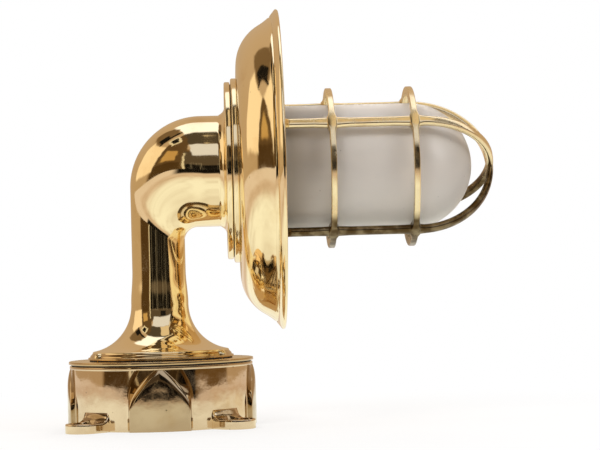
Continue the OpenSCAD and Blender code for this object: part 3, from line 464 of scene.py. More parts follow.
class WALLLIGHT_OT_finishes(bpy.types.Operator):
    """Makes the brass, glass, rubber and ceramic finishes, and dresses the CAD pieces that stay"""

    bl_idname = "wall_light.finishes"
    bl_label = "Finishes"

    kept_nodes = {
        "aged_brass": ("terminal_barrels", "terminal_screws", "block_screw", "earth_screw",
                       "holder_bracket", "bracket_screws", "holder_screws", "holder_shell",
                       "centre_contact", "shade_clamp_ring", "flange_screws", "gland_body", "gland_nut"),
        "black_rubber": ("box_gasket", "foot_gasket", "gland_seal", "flange_gasket", "globe_gasket"),
        "glazed_ceramic": ("terminal_block", "lampholder"),
        "drawn_aluminium": ("bulb_cap",),
        "clear_glass": ("bulb_glass",),
        "dull_wire": ("bulb_filament",),
        "brown_sleeve": ("lead_live",),
        "blue_sleeve": ("lead_neutral",),
    }

    def execute(self, context):
        tones = context.scene.wall_light_colours
        head = context.scene.wall_light_sizes.head_height
        brass, tarnish_and_shade = list(tones.brass), list(tones.tarnish_and_shade)
        # polished_brass paints a brown band of shade on the foot's stepped edge
        brass_finish("polished_brass", brass, tarnish_and_shade, draw=(1.0, 1.0, 0.3), foot=0.0528)
        # cast_brass adds grime and painted shade to the lug coves, and painted shade to the boss faces, flanks and
        # rim
        brass_finish("cast_brass", list(tones.pale_brass), tarnish_and_shade, roughness=0.075, wave=0.0005,
                     wave_scale=42.0, scratch=0.8, stain=0.55, pits=0.7, grime_and_shade=(0.0523, 0.0086, 0.0066),
                     bosses=(0.0634, 0.0218, 0.0422))
        # turned_brass paints a brown band of shade on the lid's outer edge
        brass_finish("turned_brass", [c * 0.9 for c in brass], tarnish_and_shade, roughness=0.08, wave=0.0001,
                     stain=0.55, lathe=("Z", 0.0), edge=0.0651)
        brass_finish("turned_head_brass", brass, tarnish_and_shade, roughness=0.09, wave=0.0001, lathe=("X", head))
        brass_finish("spun_brass", brass, tarnish_and_shade, roughness=0.06, wave=0.00022, wave_scale=18.0,
                     scratch=0.4, pits=0.35, lathe=("X", head))
        # guard_brass paints shade on the guard's underside and the lower half of its tip
        brass_finish("guard_brass", [c * 0.97 for c in brass], tarnish_and_shade, roughness=0.17, wave=0.0003,
                     wave_scale=70.0, scratch=0.7, stain=0.5, underside_shade=(0.041, 0.225, head))
        brass_finish("aged_brass", [c * 0.8 for c in brass], tarnish_and_shade, roughness=0.24, stain=0.7)
        plain_finish("black_rubber", list(tones.rubber), 0.62)
        plain_finish("glazed_ceramic", [0.86, 0.84, 0.78], 0.16, spread=0.05, depth=0.00001)
        plain_finish("drawn_aluminium", [0.80, 0.80, 0.79], 0.24, metallic=1.0)
        plain_finish("dull_wire", [0.40, 0.40, 0.42], 0.35, metallic=1.0)
        plain_finish("brown_sleeve", [0.20, 0.08, 0.03], 0.45)
        plain_finish("blue_sleeve", [0.05, 0.11, 0.26], 0.45)
        frosted_finish("frosted_glass", list(tones.frost))
        clear_finish("clear_glass", [0.96, 0.97, 0.97])
        for finish_name, nodes in self.kept_nodes.items():
            for node in nodes:
                dress_node(node, finish_name)
        return {"FINISHED"}


# Pieces

def boss_outline(s, height):
    """Half the width of an arched boss where it leaves the wall, at a height."""
    return s.boss_radius - 0.0125 * max(0.0, height - 20) ** 2


def boss_face(s, height):
    """Half the width of a boss's face at a height: full at the foot, then closing to a pointed arch."""
    return max(2.0, s.boss_radius - 1.5 - 0.021 * max(0.0, height - 13) ** 2)


def boss_face_reach(s, across, height):
    """How far a boss's face stands out: upright at its foot, then rounding back under the arch."""
    start = 30.0 - 0.038 * across ** 2
    arch = 13 + math.sqrt(max(0.0, s.boss_radius - 1.5 - across) / 0.021)
    share = min(1.0, max(0.0, (height - start) / (max(arch, start + 8) - start)))
    return s.boss_reach * (1 - 0.66 * share ** 2.6)


def wall_draft(s, height):
    """How far the cast wall leans in at a height, most of it close under the rim."""
    return 0.95 * (height / s.box_height) ** 4


class WALLLIGHT_OT_junction_box(bpy.types.Operator):
    """Casts the junction box: its wall with four arched bosses, its rim and its four lugs"""

    bl_idname = "wall_light.junction_box"
    bl_label = "Junction box"

    face_columns, flank_columns, wall_columns = 18, 9, 15
    edge_step = 0.45

    def wall_point(self, s, column, height):
        """Place on the outer wall of one column of the grid at a height."""
        half = self.face_columns + self.flank_columns + self.wall_columns
        quarter, local = divmod(column + half, 2 * half)
        local -= half
        side, steps = (1 if local >= 0 else -1), abs(local)
        quarter_run = s.box_radius * math.pi / 4
        outline, face = boss_outline(s, height), boss_face(s, height)
        if steps <= self.face_columns:
            run = face * steps / self.face_columns
            out = boss_face_reach(s, run, height)
        elif steps <= self.face_columns + self.flank_columns:
            share = (steps - self.face_columns) / self.flank_columns
            run = face + (outline - face) * share
            edge = boss_face_reach(s, face, height)
            slope = edge + (min(self.edge_step, edge) - edge) * min(1.0, share / 0.88)
            out = slope if share < 0.95 else 0.0
        else:
            share = (steps - self.face_columns - self.flank_columns) / self.wall_columns
            run = outline + (quarter_run - outline) * share
            out = 0.0
        radius = s.box_radius + out - wall_draft(s, height)
        angle = quarter * math.pi / 2 + side * run / s.box_radius
        return Vector((radius * math.cos(angle), radius * math.sin(angle), height))

    def add_casting(self, bm, s):
        """Spins the box and then draws its bosses out of the wall."""
        half = self.face_columns + self.flank_columns + self.wall_columns
        columns = 8 * half
        wall_top = s.box_height - s.rim_height
        rows = 58
        heights = [0.5 + (wall_top - 0.5) * row / rows for row in range(rows + 1)]
        inner = s.box_radius - 4
        rim = s.box_radius + s.rim_reach
        upper = rounded([(rim, wall_top + 0.01, 0.35), (rim, s.box_height, 0.45), (inner, s.box_height, 0.4),
                         (inner, 4, 2.0), (0, 4, 0)], 3)
        outline = [(0, 0), (s.box_radius - 0.5, 0)] + [(s.box_radius, z) for z in heights]
        outline += [tuple(point) for point in upper]
        spin_upright(bm, outline, steps=columns, closed=False)
        bmesh.ops.remove_doubles(bm, verts=bm.verts, dist=0.002)
        for vert in bm.verts:
            radius = math.hypot(vert.co.x, vert.co.y)
            low = vert.co.z < 0.3 and radius > inner + 2
            if low or (abs(radius - s.box_radius) < 0.05 and vert.co.z <= wall_top + 0.005):
                column = round(math.atan2(vert.co.y, vert.co.x) / FULL_TURN * columns) % columns
                drawn = self.wall_point(s, column, vert.co.z)
                vert.co = drawn - (Vector((drawn.x, drawn.y, 0)).normalized() * 0.5 if low else Vector())

    def add_lug(self, bm, s, quarter):
        """A lug with a countersunk hole, which runs up into the wall in a hollow cove."""
        hole, sink, sink_depth, cove = 4.25, 8.6, 4.4, 6.5
        rim = sink + 0.4
        top = s.lug_thickness
        corners = [(hole, 0.0, 0.3), (s.lug_radius, 0.0, 0.6), (s.lug_radius, top, 0.9),
                   (sink + 0.3, top, 0.3), (hole, top - sink_depth, 0.4)]
        outline = []
        made = rounded(corners, 4)
        for first, second in zip(made, made[1:] + made[:1]):
            pieces = max(1, int((second - first).length / 0.7))
            outline += [first.lerp(second, step / pieces) for step in range(pieces)]
        before = set(bm.verts)
        spin_upright(bm, [tuple(point) for point in outline], steps=96, centre=(s.lug_circle, 0))
        verts = [vert for vert in bm.verts if vert not in before]
        flat = s.lug_radius - 0.9
        miss = s.lug_circle ** 2 - s.box_radius ** 2
        for vert in verts:
            arm = Vector((vert.co.x - s.lug_circle, vert.co.y))
            out = arm.length
            if out > rim and arm.x < 0:
                heading = arm / out
                back = -heading.x * s.lug_circle
                to_wall = back - math.sqrt(back ** 2 - miss) if back ** 2 > miss else math.inf
                side = max(abs(heading.y), 1e-6)
                edge, more = min((to_wall, 2.0), (flat / side, 1 / side))
                share = (out - rim) / (flat - rim)
                if share <= 1:
                    out = rim + (1 - (1 - share) ** 1.6) * (edge - rim)
                else:
                    out = edge + (out - flat) * more
                vert.co.x, vert.co.y = s.lug_circle + heading.x * out, heading.y * out
            gap = max(0.0, math.hypot(vert.co.x, vert.co.y) - s.box_radius)
            if vert.co.z > top - 1.0 and gap < cove and out > sink - 0.2:
                vert.co.z += cove - math.sqrt(cove ** 2 - (cove - gap) ** 2)
        bmesh.ops.rotate(bm, cent=(0, 0, 0), matrix=Matrix.Rotation(math.radians(45 + 90 * quarter), 3, "Z"),
                         verts=verts)

    def execute(self, context):
        s = sizes(context)
        bm = bmesh.new()
        self.add_casting(bm, s)
        for quarter in range(4):
            self.add_lug(bm, s, quarter)
        place_piece("box_casting", bm, "fixture", finish("cast_brass"), ["junction_box"])
        return {"FINISHED"}


class WALLLIGHT_OT_lid(bpy.types.Operator):
    """Turns the lid, with its hole for the leads, and sets the three domed screws of the foot"""

    bl_idname = "wall_light.lid"
    bl_label = "Lid and foot screws"

    def execute(self, context):
        s = sizes(context)
        bm = bmesh.new()
        top = s.lid_base + s.lid_thickness
        spin_upright(bm, rounded([(16, s.lid_base, 0.2), (s.lid_radius, s.lid_base, 0.5),
                                  (s.lid_radius, top, 0.7), (16, top, 0.2)]))
        place_piece("lid_plate", bm, "fixture", finish("turned_brass"), ["box_lid"])
        bm = bmesh.new()
        head_radius, seat = 4.1, s.foot_base + 1.2
        for degrees in (-30, 90, 210):
            angle = math.radians(degrees)
            centre = (48.5 * math.cos(angle), 48.5 * math.sin(angle))
            dome = [(0, seat + 4.2)] + [(head_radius * math.sin(a), seat + 4.2 * math.cos(a) ** 0.8)
                                         for a in (math.radians(d) for d in range(12, 85, 12))]
            outline = dome + [(head_radius, seat), (2, seat), (2, seat - 13), (0, seat - 13)]
            spin_upright(bm, outline, steps=48, closed=False, centre=centre)
        place_piece("foot_screw_set", bm, "fixture", finish("turned_brass"), ["foot_screws"])
        return {"FINISHED"}


class WALLLIGHT_OT_neck(bpy.types.Operator):
    """Casts the swan neck: foot, trumpet, swelling bend, outlet and flange as one hollow skin"""

    bl_idname = "wall_light.neck"
    bl_label = "Swan neck"

    bend_base = 110.0
    bend_rings = 72
    swell_from, swell_to = 0.27, 0.90

    def edge_point(self, centre, radius, lead, tail, share):
        """A point on one edge of the bend, seen from the side: up, round a quarter, and along."""
        turn = radius * math.pi / 2
        run = share * (lead + turn + tail)
        if run < lead:
            return Vector((centre[0] - radius, 0, centre[1] - lead + run))
        if run < lead + turn:
            angle = (run - lead) / radius
            return Vector((centre[0] - radius * math.cos(angle), 0, centre[1] + radius * math.sin(angle)))
        return Vector((centre[0] + run - lead - turn, 0, centre[1] + radius))

    def bend_ring(self, s, share, thin):
        """The round section of the bend at a share of its length."""
        end = s.outlet_place - 6.5 + 2
        outer_centre = (s.bend_radius - s.neck_radius, s.head_height + s.outlet_radius - s.bend_radius)
        inner_centre = (s.neck_radius + s.corner_radius, s.head_height - s.outlet_radius - s.corner_radius)
        outer = self.edge_point(outer_centre, s.bend_radius, outer_centre[1] - self.bend_base,
                                end - outer_centre[0], share)
        inner = self.edge_point(inner_centre, s.corner_radius, inner_centre[1] - self.bend_base,
                                end - inner_centre[0], share)
        across = (outer - inner).normalized()
        swell = min(1.0, max(0.0, (share - self.swell_from) / (self.swell_to - self.swell_from)))
        wide = s.neck_radius + (s.outlet_radius - s.neck_radius) * (3 - 2 * swell) * swell ** 2
        return (outer + inner) / 2, across, (0, 1, 0), (outer - inner).length / 2 - thin, wide - thin

    def execute(self, context):
        s = sizes(context)
        foot_top = s.foot_base + s.foot_height
        sweep_x = s.neck_radius + 1.4 + s.trumpet_radius
        sweep_z = foot_top + math.sqrt(s.trumpet_radius ** 2 - (sweep_x - s.foot_top_radius) ** 2)
        foot_angle = math.degrees(math.acos((s.foot_top_radius - sweep_x) / s.trumpet_radius))
        hollow = s.trumpet_radius + s.neck_wall
        hollow_angle = math.degrees(math.acos((34 - sweep_x) / hollow))
        edge = [(34, s.foot_base), (s.foot_radius - 0.3, s.foot_base), (s.foot_radius, s.foot_base + 0.3),
                (s.foot_radius, s.foot_base + 1.1), (s.foot_radius - 0.15, s.foot_base + 1.35),
                (s.foot_radius - 0.4, s.foot_base + 1.45), (s.foot_radius - 1.1, s.foot_base + 1.5),
                (s.foot_radius - 1.35, s.foot_base + 1.7), (s.foot_radius - 1.5, s.foot_base + 2.3),
                (s.foot_radius - 1.9, s.foot_base + 3.0), (s.foot_radius - 2.6, s.foot_base + 3.6),
                (s.foot_radius - 3.1, s.foot_base + 4.2), (s.foot_radius - 3.3, s.foot_base + 4.8),
                (s.foot_radius - 3.6, s.foot_base + 5.3)]
        outside = edge + [tuple(p) for p in arc((sweep_x, sweep_z), s.trumpet_radius, 360 - foot_angle, 180, 40)]
        rise = self.bend_base - sweep_z
        outside += [(s.neck_radius + 1.4 * (1 - (3 - 2 * share) * share ** 2), sweep_z + rise * share * 0.98)
                    for share in (0.08, 0.16, 0.25, 0.35, 0.45, 0.55, 0.65, 0.75, 0.85, 0.93)]
        inside = [tuple(p) for p in arc((sweep_x, sweep_z), hollow, 180, 360 - hollow_angle, 14)]
        upright = [((0, 0, z), (-1, 0, 0), (0, 1, 0), r, r) for r, z in outside]
        bend = [self.bend_ring(s, step / self.bend_rings, 0) for step in range(self.bend_rings + 1)]
        fillet = 6.5
        curve = arc((s.outlet_radius + fillet, s.outlet_place - fillet), fillet, 180, 90, 10)[3:]
        face = s.outlet_place + 4
        flange = [tuple(p) for p in curve] + [(s.outlet_flange - 1.2, s.outlet_place)]
        flange += [tuple(p) for p in arc((s.outlet_flange - 1.1, s.outlet_place + 1.1), 1.1, -90, 0, 5)]
        flange += [tuple(p) for p in arc((s.outlet_flange - 0.7, face - 0.7), 0.7, 0, 90, 4)]
        flange += [(s.outlet_flange - 6, face), (s.outlet_radius - 3.2, face)]
        on_head = [((x, 0, s.head_height), (0, 0, 1), (0, 1, 0), r, r) for r, x in flange]
        back = [self.bend_ring(s, 1 - step / 18, s.neck_wall) for step in range(19)]
        down = [((0, 0, z), (-1, 0, 0), (0, 1, 0), r, r) for r, z in inside]
        bm = bmesh.new()
        stack(bm, upright + bend + on_head + back + down, 120, joined=True)
        place_piece("neck_casting", bm, "fixture", finish("polished_brass"), ["neck"])
        return {"FINISHED"}


class WALLLIGHT_OT_lamp_body(bpy.types.Operator):
    """Turns the lamp body: the disc behind the shade and the collar that carries the guard"""

    bl_idname = "wall_light.lamp_body"
    bl_label = "Lamp body"

    def execute(self, context):
        s = sizes(context)
        back = s.outlet_place + 4.6
        front = back + 4.2
        bm = bmesh.new()
        spin_on_head(bm, rounded([(33, back, 0.2), (s.body_flange, back, 1.2), (s.body_flange, front, 0.8),
                                  (s.collar_radius, front, 0.4), (s.collar_radius, front + 20, 0.6),
                                  (s.collar_radius - 5.5, front + 20, 0.4),
                                  (s.collar_radius - 5.5, front, 0.6), (33, front, 0.2)]), s.head_height)
        place_piece("body_disc", bm, "fixture", finish("turned_head_brass"), ["lamp_body"])
        return {"FINISHED"}


class WALLLIGHT_OT_shade(bpy.types.Operator):
    """Spins the dish shade with its folded rim"""

    bl_idname = "wall_light.shade"
    bl_label = "Shade"

    steep, rim_slope = 60.0, 38.0
    flat_radius, flare_width = 74.0, 11.2

    def sheet_line(self, s, face, off):
        """The sheet from its hole to the rim, a distance in front of its back face."""
        turn_radius = s.shade_radius - self.flare_width
        shoulder = (turn_radius - self.flat_radius) / math.sin(math.radians(self.steep))
        turn_place = shoulder * (1 - math.cos(math.radians(self.steep)))
        flare = self.flare_width / (math.sin(math.radians(self.steep)) - math.sin(math.radians(self.rim_slope)))
        flare_centre = (turn_radius + flare * math.sin(math.radians(self.steep)),
                        turn_place - flare * math.cos(math.radians(self.steep)))
        line = [Vector((s.collar_radius + 0.3, face + off)), Vector((66.5, face + off)),
                Vector((self.flat_radius - 2, face + off))]
        for step in range(0, 31):
            angle = math.radians(self.steep * step / 30)
            line.append(Vector((self.flat_radius + (shoulder - off) * math.sin(angle),
                                face + shoulder - (shoulder - off) * math.cos(angle))))
        for step in range(1, 15):
            angle = math.radians(self.steep + (self.rim_slope - self.steep) * step / 14)
            line.append(Vector((flare_centre[0] - (flare + off) * math.sin(angle),
                                face + flare_centre[1] + (flare + off) * math.cos(angle))))
        return line

    def execute(self, context):
        s = sizes(context)
        face = s.outlet_place + 8.8
        back, front = self.sheet_line(s, face, 0), self.sheet_line(s, face, s.shade_sheet)
        slope = math.radians(self.rim_slope)
        along, across = Vector((math.cos(slope), math.sin(slope))), Vector((-math.sin(slope), math.cos(slope)))
        end = (back[-1] + front[-1]) / 2
        hem_run, hem_half = s.hem_width / math.sin(slope), 1.3
        start = end - along * hem_run
        back = [p for p in back if (p - start).dot(along) < -0.9]
        front = [p for p in front if (p - start).dot(along) < -0.9]
        sheet_half = s.shade_sheet / 2
        groove = [start - along * 0.5 - across * sheet_half, start - along * 0.15 - across * (sheet_half - 0.35),
                  start + along * 0.1 - across * (sheet_half - 0.35),
                  start + along * 0.25 - across * (hem_half - 0.3), start + along * 0.55 - across * hem_half]
        lip = [end + along * (hem_half * math.cos(a) - hem_half) + across * hem_half * math.sin(a)
               for a in (math.radians(d) for d in range(-90, 91, 15))]
        fold = [start + along * 0.5 + across * hem_half, start + along * 0.1 + across * (hem_half - 0.3),
                start - along * 0.3 + across * sheet_half]
        outline = back + groove + lip + fold + front[::-1]
        bm = bmesh.new()
        spin_on_head(bm, outline, s.head_height, steps=220)
        place_piece("shade_dish", bm, "fixture", finish("spun_brass"), ["shade"])
        return {"FINISHED"}


class WALLLIGHT_OT_globe(bpy.types.Operator):
    """Blows the frosted globe: a thick tube with a round end and a rim at its mouth"""

    bl_idname = "wall_light.globe"
    bl_label = "Frosted globe"

    def execute(self, context):
        s = sizes(context)
        mouth = s.outlet_place + 30.8
        dome = s.globe_tip - s.globe_radius
        inner = s.globe_radius - s.globe_wall
        rim = rounded([(inner, mouth, 0.8), (48.9, mouth, 0.8), (48.9, mouth + 5, 0.8),
                       (s.globe_radius, mouth + 5, 0)], 4)
        outline = rim + [Vector((s.globe_radius, mouth + 5 + (dome - mouth - 5) * step / 8)) for step in range(1, 8)]
        outline += arc((0, dome), s.globe_radius, 0, 90, 30)
        outline += arc((0, dome), inner, 90, 0, 26)
        outline += [Vector((inner, dome - (dome - mouth - 1) * step / 8)) for step in range(1, 8)]
        bm = bmesh.new()
        spin_on_head(bm, outline, s.head_height, steps=128)
        place_piece("frosted_globe", bm, "globe", finish("frosted_glass"), ["glass_globe"])
        return {"FINISHED"}


class WALLLIGHT_OT_guard(bpy.types.Operator):
    """Casts the guard: screwed base ring, two rings, and four bars that cross at the tip"""

    bl_idname = "wall_light.guard"
    bl_label = "Guard"

    bar_lean = 32.0
    ring_places = (123.3, 180.6)

    def flare(self, gap, reach=6.5, amount=1.5):
        """How much a bar or ring widens near a joint, as a fillet does."""
        return amount * max(0.0, 1 - abs(gap) / reach) ** 2.5

    def hoop(self, bm, s, degrees):
        """Two opposite bars as one hoop that runs over the tip."""
        middle = s.guard_radius - 0.4 - s.bar_thickness / 2
        dome = s.guard_tip - middle - s.bar_thickness / 2 - 0.05
        foot = s.outlet_place + 37
        turn = Matrix.Rotation(math.radians(degrees), 3, "X")
        path = [(Vector((foot + (dome - foot) * step / 12, 0, middle)), Vector((0, 0, 1)))
                for step in range(12)]
        path += [(Vector((dome + middle * math.sin(a), 0, middle * math.cos(a))),
                  Vector((math.sin(a), 0, math.cos(a)))) for a in (math.pi * step / 56 for step in range(57))]
        path += [(Vector((dome - (dome - foot) * step / 12, 0, -middle)), Vector((0, 0, -1)))
                 for step in range(1, 13)]
        loops = []
        for centre, out in path:
            made = bmesh.ops.create_circle(bm, cap_ends=False, segments=24, radius=1.0)
            side = Vector((0, 1, 0))
            gaps = [centre.x - place - math.copysign(2.15, centre.x - place) for place in self.ring_places]
            gaps += [centre.x - s.outlet_place - 39.1, centre.xy.length - 4 if centre.x > dome + 40 else 99]
            wider = max(self.flare(gap) for gap in gaps)
            for vert in made["verts"]:
                wide, thick = vert.co.x, vert.co.y
                wide = math.copysign(abs(wide) ** 0.5, wide) * (s.bar_width / 2 + wider)
                thick = math.copysign(abs(thick) ** 0.75, thick) * s.bar_thickness / 2
                vert.co = turn @ (centre + side * wide + out * thick) + Vector((0, 0, s.head_height))
            loops.append(list({edge for vert in made["verts"] for edge in vert.link_edges}))
        for first, second in zip(loops, loops[1:]):
            bmesh.ops.bridge_loops(bm, edges=first + second)
        for loop in (loops[0], loops[-1]):
            bmesh.ops.contextual_create(bm, geom=loop)

    def execute(self, context):
        s = sizes(context)
        bm = bmesh.new()
        start, lip, end = s.outlet_place + 16.8, s.outlet_place + 36.1, s.outlet_place + 39.1
        spin_on_head(bm, rounded([(50.3, start, 0.3), (55.4, start, 0.8), (55.4, end, 0.8), (46, end, 0.5),
                                  (46, lip, 0.3), (50.3, lip, 0.2)]), s.head_height)
        for place in self.ring_places:
            before = set(bm.verts)
            spin_on_head(bm, rounded([(50.5, place - 2.15, 1.2), (s.guard_radius, place - 2.15, 0.8),
                                      (s.guard_radius, place + 2.15, 0.8), (50.5, place + 2.15, 1.2)], 5),
                         s.head_height, steps=240)
            for vert in bm.verts:
                if vert not in before:
                    turn = math.degrees(math.atan2(vert.co.z - s.head_height, -vert.co.y)) - self.bar_lean
                    gap = abs((turn + 45) % 90 - 45) * math.radians(s.guard_radius) - s.bar_width / 2
                    wider = self.flare(max(0.0, gap))
                    vert.co.x += wider * (vert.co.x - place) / 2.15
        self.hoop(bm, s, 90 - self.bar_lean)
        self.hoop(bm, s, -self.bar_lean)
        place_piece("guard_casting", bm, "guard", finish("guard_brass"), ["guard"])
        return {"FINISHED"}


# Studio

class WALLLIGHT_OT_stage(bpy.types.Operator):
    """Lays the pale floor, hangs the lights and sets the camera"""

    bl_idname = "wall_light.stage"
    bl_label = "Studio"

    white = (1.0, 1.0, 1.0, 1.0)
    near_table, table, table_stain = (1.05, 1.05, 0.93, 1.0), (0.74, 0.58, 0.45, 1.0), (0.46, 0.32, 0.19, 1.0)
    table_side = (0.82, 0.68, 0.56, 1.0)
    low_back, high_back = (0.54, 0.38, 0.22, 1.0), (0.58, 0.42, 0.27, 1.0)
    # Panels round the room: middle, half width, foot, top and softness in degrees, and colour
    walls = (
        ((8, 84, -20, 36, 6), (0.16, 0.085, 0.025, 1.0)),
        ((-56, 18, -20, 82, 4), (0.13, 0.075, 0.03, 1.0)),
        ((-60, 15, -8, 12, 2), (0.085, 0.045, 0.014, 1.0)),
        ((-60, 8, 18, 32, 3), (0.62, 0.38, 0.13, 1.0)),
        ((-96, 19, 9, 38, 3), (1.1, 0.88, 0.60, 1.0)),
        ((-112, 20, 42, 62, 4), (0.20, 0.125, 0.06, 1.0)),
        ((-100, 8, 44, 53, 2), (0.012, 0.010, 0.008, 1.0)),
        ((5, 42, 6, 33, 3), (0.105, 0.075, 0.045, 1.0)),
        ((14, 10, 14, 26, 1.5), (0.012, 0.010, 0.008, 1.0)),
        ((5, 40, -20, 8, 1.5), (0.008, 0.006, 0.004, 1.0)),
        ((-39, 1.2, -10, 30, 1), (0.8, 0.7, 0.5, 1.0)),
    )
    # Panels overhead: sideways middle and half width, then the angle up and over from the camera's side
    ceiling = (
        ((25, 45, 31, 54, 3), (0.80, 0.80, 0.86, 1.0)),
        ((25, 45, 57, 88, 3), (0.085, 0.065, 0.042, 1.0)),
        ((25, 45, 88, 118, 4), (1.3, 1.32, 1.4, 1.0)),
        ((12, 10.5, 56, 82, 0.8), (0.78, 0.62, 0.40, 1.0)),
        ((-37, 14, 92, 95, 1), (0.01, 0.008, 0.006, 1.0)),
        ((-36, 7, 68, 84, 1), (0.85, 0.75, 0.55, 1.0)),
        ((-36, 4, 71, 81, 1), (0.01, 0.008, 0.006, 1.0)),
    )

    def lay_floor(self, base):
        """A round pale floor that melts into the background."""
        bm = bmesh.new()
        bmesh.ops.create_circle(bm, cap_ends=True, segments=96, radius=30.0)
        mesh = bpy.data.meshes.new("studio_floor")
        bm.to_mesh(mesh)
        bm.free()
        floor = bpy.data.objects.new("studio_floor", mesh)
        bpy.context.scene.collection.objects.link(floor)
        material, sheet = new_material("pale_floor")
        place = sheet.node("ShaderNodeTexCoord").outputs["Object"]
        away = sheet.node("ShaderNodeVectorMath", {0: place}, operation="LENGTH").outputs["Value"]
        grain = sheet.noise(place, 40.0, 3.0)
        tone = sheet.blend(sheet.maths("MULTIPLY", grain, 0.06), rgba(base), (0.8, 0.79, 0.77, 1.0))
        matt = sheet.node("ShaderNodeBsdfDiffuse", {"Color": tone})
        glow = sheet.node("ShaderNodeEmission", {"Color": self.white, "Strength": 1.0})
        shown = sheet.node("ShaderNodeMixShader", {0: sheet.ramp(away, 0.05, 0.5, 0.72, 1.0),
                                                   1: matt.outputs[0], 2: glow.outputs[0]})
        table = sheet.blend(sheet.ramp(away, 0.35, 0.8), self.near_table, self.table)
        mottle = sheet.ramp(sheet.noise(place, 5.0, 3.0), 0.4, 0.75, 0.0, 0.4)
        table = sheet.blend(mottle, table, self.table_stain)
        parts = sheet.node("ShaderNodeSeparateXYZ", {"Vector": place}).outputs
        turn = sheet.maths("ARCTAN2", parts["X"], sheet.maths("MULTIPLY", parts["Y"], -1.0))
        ahead = sheet.ramp(sheet.maths("ABSOLUTE", turn), 0.75, 0.9, 1.0, 0.0)
        beyond = sheet.blend(ahead, self.table_side, (0.008, 0.006, 0.004, 1.0))
        table = sheet.blend(sheet.ramp(away, 1.0, 1.5), table, beyond)
        table_glow = sheet.node("ShaderNodeEmission", {"Color": table, "Strength": 1.0})
        mirrored = sheet.node("ShaderNodeLightPath").outputs["Is Glossy Ray"]
        mixed = sheet.node("ShaderNodeMixShader", {0: mirrored, 1: shown.outputs[0], 2: table_glow.outputs[0]})
        sheet.node("ShaderNodeOutputMaterial", {"Surface": mixed.outputs[0]})
        mesh.materials.append(material)

    def card(self, sheet, turn, lift, panel):
        """A mask for a panel of the room: its middle, half its width, its foot and its top, in degrees."""
        middle, half_width, low, high, soft = (math.radians(part) for part in panel)
        gap = sheet.maths("ABSOLUTE", sheet.maths("WRAP", sheet.maths("SUBTRACT", turn, middle),
                                                  math.pi, -math.pi))
        across = sheet.ramp(gap, half_width, half_width + soft, 1.0, 0.0)
        up = sheet.maths("MULTIPLY", sheet.ramp(lift, low - soft, low, 0.0, 1.0),
                         sheet.ramp(lift, high, high + soft, 1.0, 0.0))
        return sheet.maths("MULTIPLY", across, up)

    def paint_surroundings(self):
        """White to the eye, and a bright room with dark openings to what reflects it."""
        world = bpy.data.worlds.new("studio_surroundings")
        bpy.context.scene.world = world
        world.use_nodes = True
        sheet = Sheet(world.node_tree)
        way = sheet.node("ShaderNodeTexCoord").outputs["Generated"]
        parts = sheet.node("ShaderNodeSeparateXYZ", {"Vector": way}).outputs
        sway = sheet.maths("MULTIPLY", sheet.maths("SUBTRACT", sheet.noise(way, 7.0, 3.0), 0.5), 0.14)
        turn = sheet.maths("ADD", sway, sheet.maths("ARCTAN2", parts["X"], sheet.maths("MULTIPLY", parts["Y"], -1.0)))
        lift = sheet.maths("ADD", sheet.maths("MULTIPLY", sway, 0.6), sheet.maths("ARCSINE", parts["Z"]))
        side = sheet.maths("ADD", sway, sheet.maths("ARCSINE", parts["X"]))
        over = sheet.maths("ADD", sheet.maths("MULTIPLY", sway, 0.6),
                           sheet.maths("ARCTAN2", parts["Z"], sheet.maths("MULTIPLY", parts["Y"], -1.0)))
        tone = sheet.blend(sheet.ramp(lift, -0.05, 0.6), self.low_back, self.high_back)
        for panel, painted in self.walls:
            tone = sheet.blend(self.card(sheet, turn, lift, panel), tone, painted)
        for panel, painted in self.ceiling:
            tone = sheet.blend(self.card(sheet, side, over, panel), tone, painted)
        streak = sheet.node("ShaderNodeMapping", {"Vector": way, "Scale": (24.0, 24.0, 1.2)}).outputs[0]
        streaks = sheet.ramp(sheet.noise(streak, 1.0, 3.0), 0.5, 0.72, 0.0, 0.5)
        ahead = self.card(sheet, turn, lift, (4, 34, -2, 11, 2))
        tone = sheet.blend(sheet.maths("MULTIPLY", streaks, ahead), tone, (0.5, 0.42, 0.30, 1.0))
        seen = sheet.node("ShaderNodeLightPath").outputs["Is Camera Ray"]
        tone = sheet.blend(seen, tone, self.white)
        glow = sheet.node("ShaderNodeBackground", {"Color": tone, "Strength": 1.0})
        sheet.node("ShaderNodeOutputWorld", {"Surface": glow.outputs[0]})

    def hang_light(self, name, place, aim, size, power, tint=(1, 1, 1)):
        """A soft square light that points at a place."""
        data = bpy.data.lights.new(name, "AREA")
        data.shape, data.size, data.energy, data.color = "SQUARE", size, power, tint
        light = bpy.data.objects.new(name, data)
        light.location = place
        light.visible_glossy = False
        light.rotation_mode = "QUATERNION"
        light.rotation_quaternion = (Vector(aim) - Vector(place)).to_track_quat("-Z", "Y")
        bpy.context.scene.collection.objects.link(light)

    def set_camera(self):
        """The photograph's camera: level with the neck, a little left of the shade."""
        data = bpy.data.cameras.new("camera")
        data.lens, data.sensor_width = 118.0, 36.0
        camera = bpy.data.objects.new("camera", data)
        place, aim = Vector((0.040, -1.400, 0.095)), Vector((0.1011, 0.0, 0.1395))
        camera.location = place
        camera.rotation_mode = "QUATERNION"
        roll = Quaternion((0, 0, 1), math.radians(-1.6))
        camera.rotation_quaternion = (aim - place).to_track_quat("-Z", "Y") @ roll
        bpy.context.scene.collection.objects.link(camera)
        bpy.context.scene.camera = camera

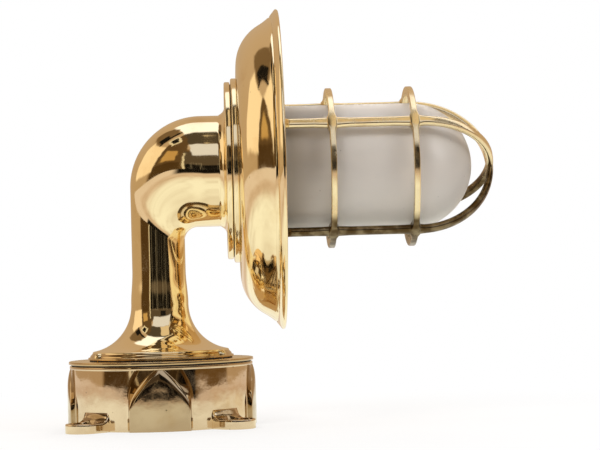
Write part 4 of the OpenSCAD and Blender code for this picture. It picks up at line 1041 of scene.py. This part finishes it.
    def execute(self, context):
        self.lay_floor(list(context.scene.wall_light_colours.floor))
        self.paint_surroundings()
        self.hang_light("key_light", (-0.9, -1.3, 1.3), (0.02, 0, 0.14), 0.7, 17)
        self.hang_light("fill_light", (1.5, -0.9, 0.8), (0.1, 0, 0.15), 0.6, 9)
        self.hang_light("back_light", (0.3, 1.5, 1.2), (0.05, 0, 0.15), 0.8, 14)
        self.set_camera()
        context.scene.view_settings.view_transform = "Standard"
        return {"FINISHED"}


# Add-on

class WALLLIGHT_PT_panel(bpy.types.Panel):
    """Lists the steps that build the wall light"""

    bl_idname = "WALLLIGHT_PT_panel"
    bl_label = "Wall light"
    bl_space_type = "VIEW_3D"
    bl_region_type = "UI"
    bl_category = "Wall light"

    def draw(self, context):
        for step in STEPS:
            self.layout.operator(step.bl_idname)
        for group in (context.scene.wall_light_sizes, context.scene.wall_light_colours):
            box = self.layout.box()
            for name in type(group).__annotations__:
                box.prop(group, name)


STEPS = (WALLLIGHT_OT_finishes, WALLLIGHT_OT_junction_box, WALLLIGHT_OT_lid, WALLLIGHT_OT_neck,
         WALLLIGHT_OT_lamp_body, WALLLIGHT_OT_shade, WALLLIGHT_OT_globe, WALLLIGHT_OT_guard,
         WALLLIGHT_OT_stage)
CLASSES = (WallLightSizes, WallLightColours) + STEPS + (WALLLIGHT_PT_panel,)


def register():
    """Registers the classes and hangs the settings on the scene."""
    for kind in CLASSES:
        bpy.utils.register_class(kind)
    bpy.types.Scene.wall_light_sizes = bpy.props.PointerProperty(type=WallLightSizes)
    bpy.types.Scene.wall_light_colours = bpy.props.PointerProperty(type=WallLightColours)


def unregister():
    """Takes the settings and classes away again."""
    del bpy.types.Scene.wall_light_colours
    del bpy.types.Scene.wall_light_sizes
    for kind in reversed(CLASSES):
        bpy.utils.unregister_class(kind)


def main():
    """Builds the whole light."""
    register()
    for step in STEPS:
        family, name = step.bl_idname.split(".")
        getattr(getattr(bpy.ops, family), name)()


if __name__ == "__main__":
    main()
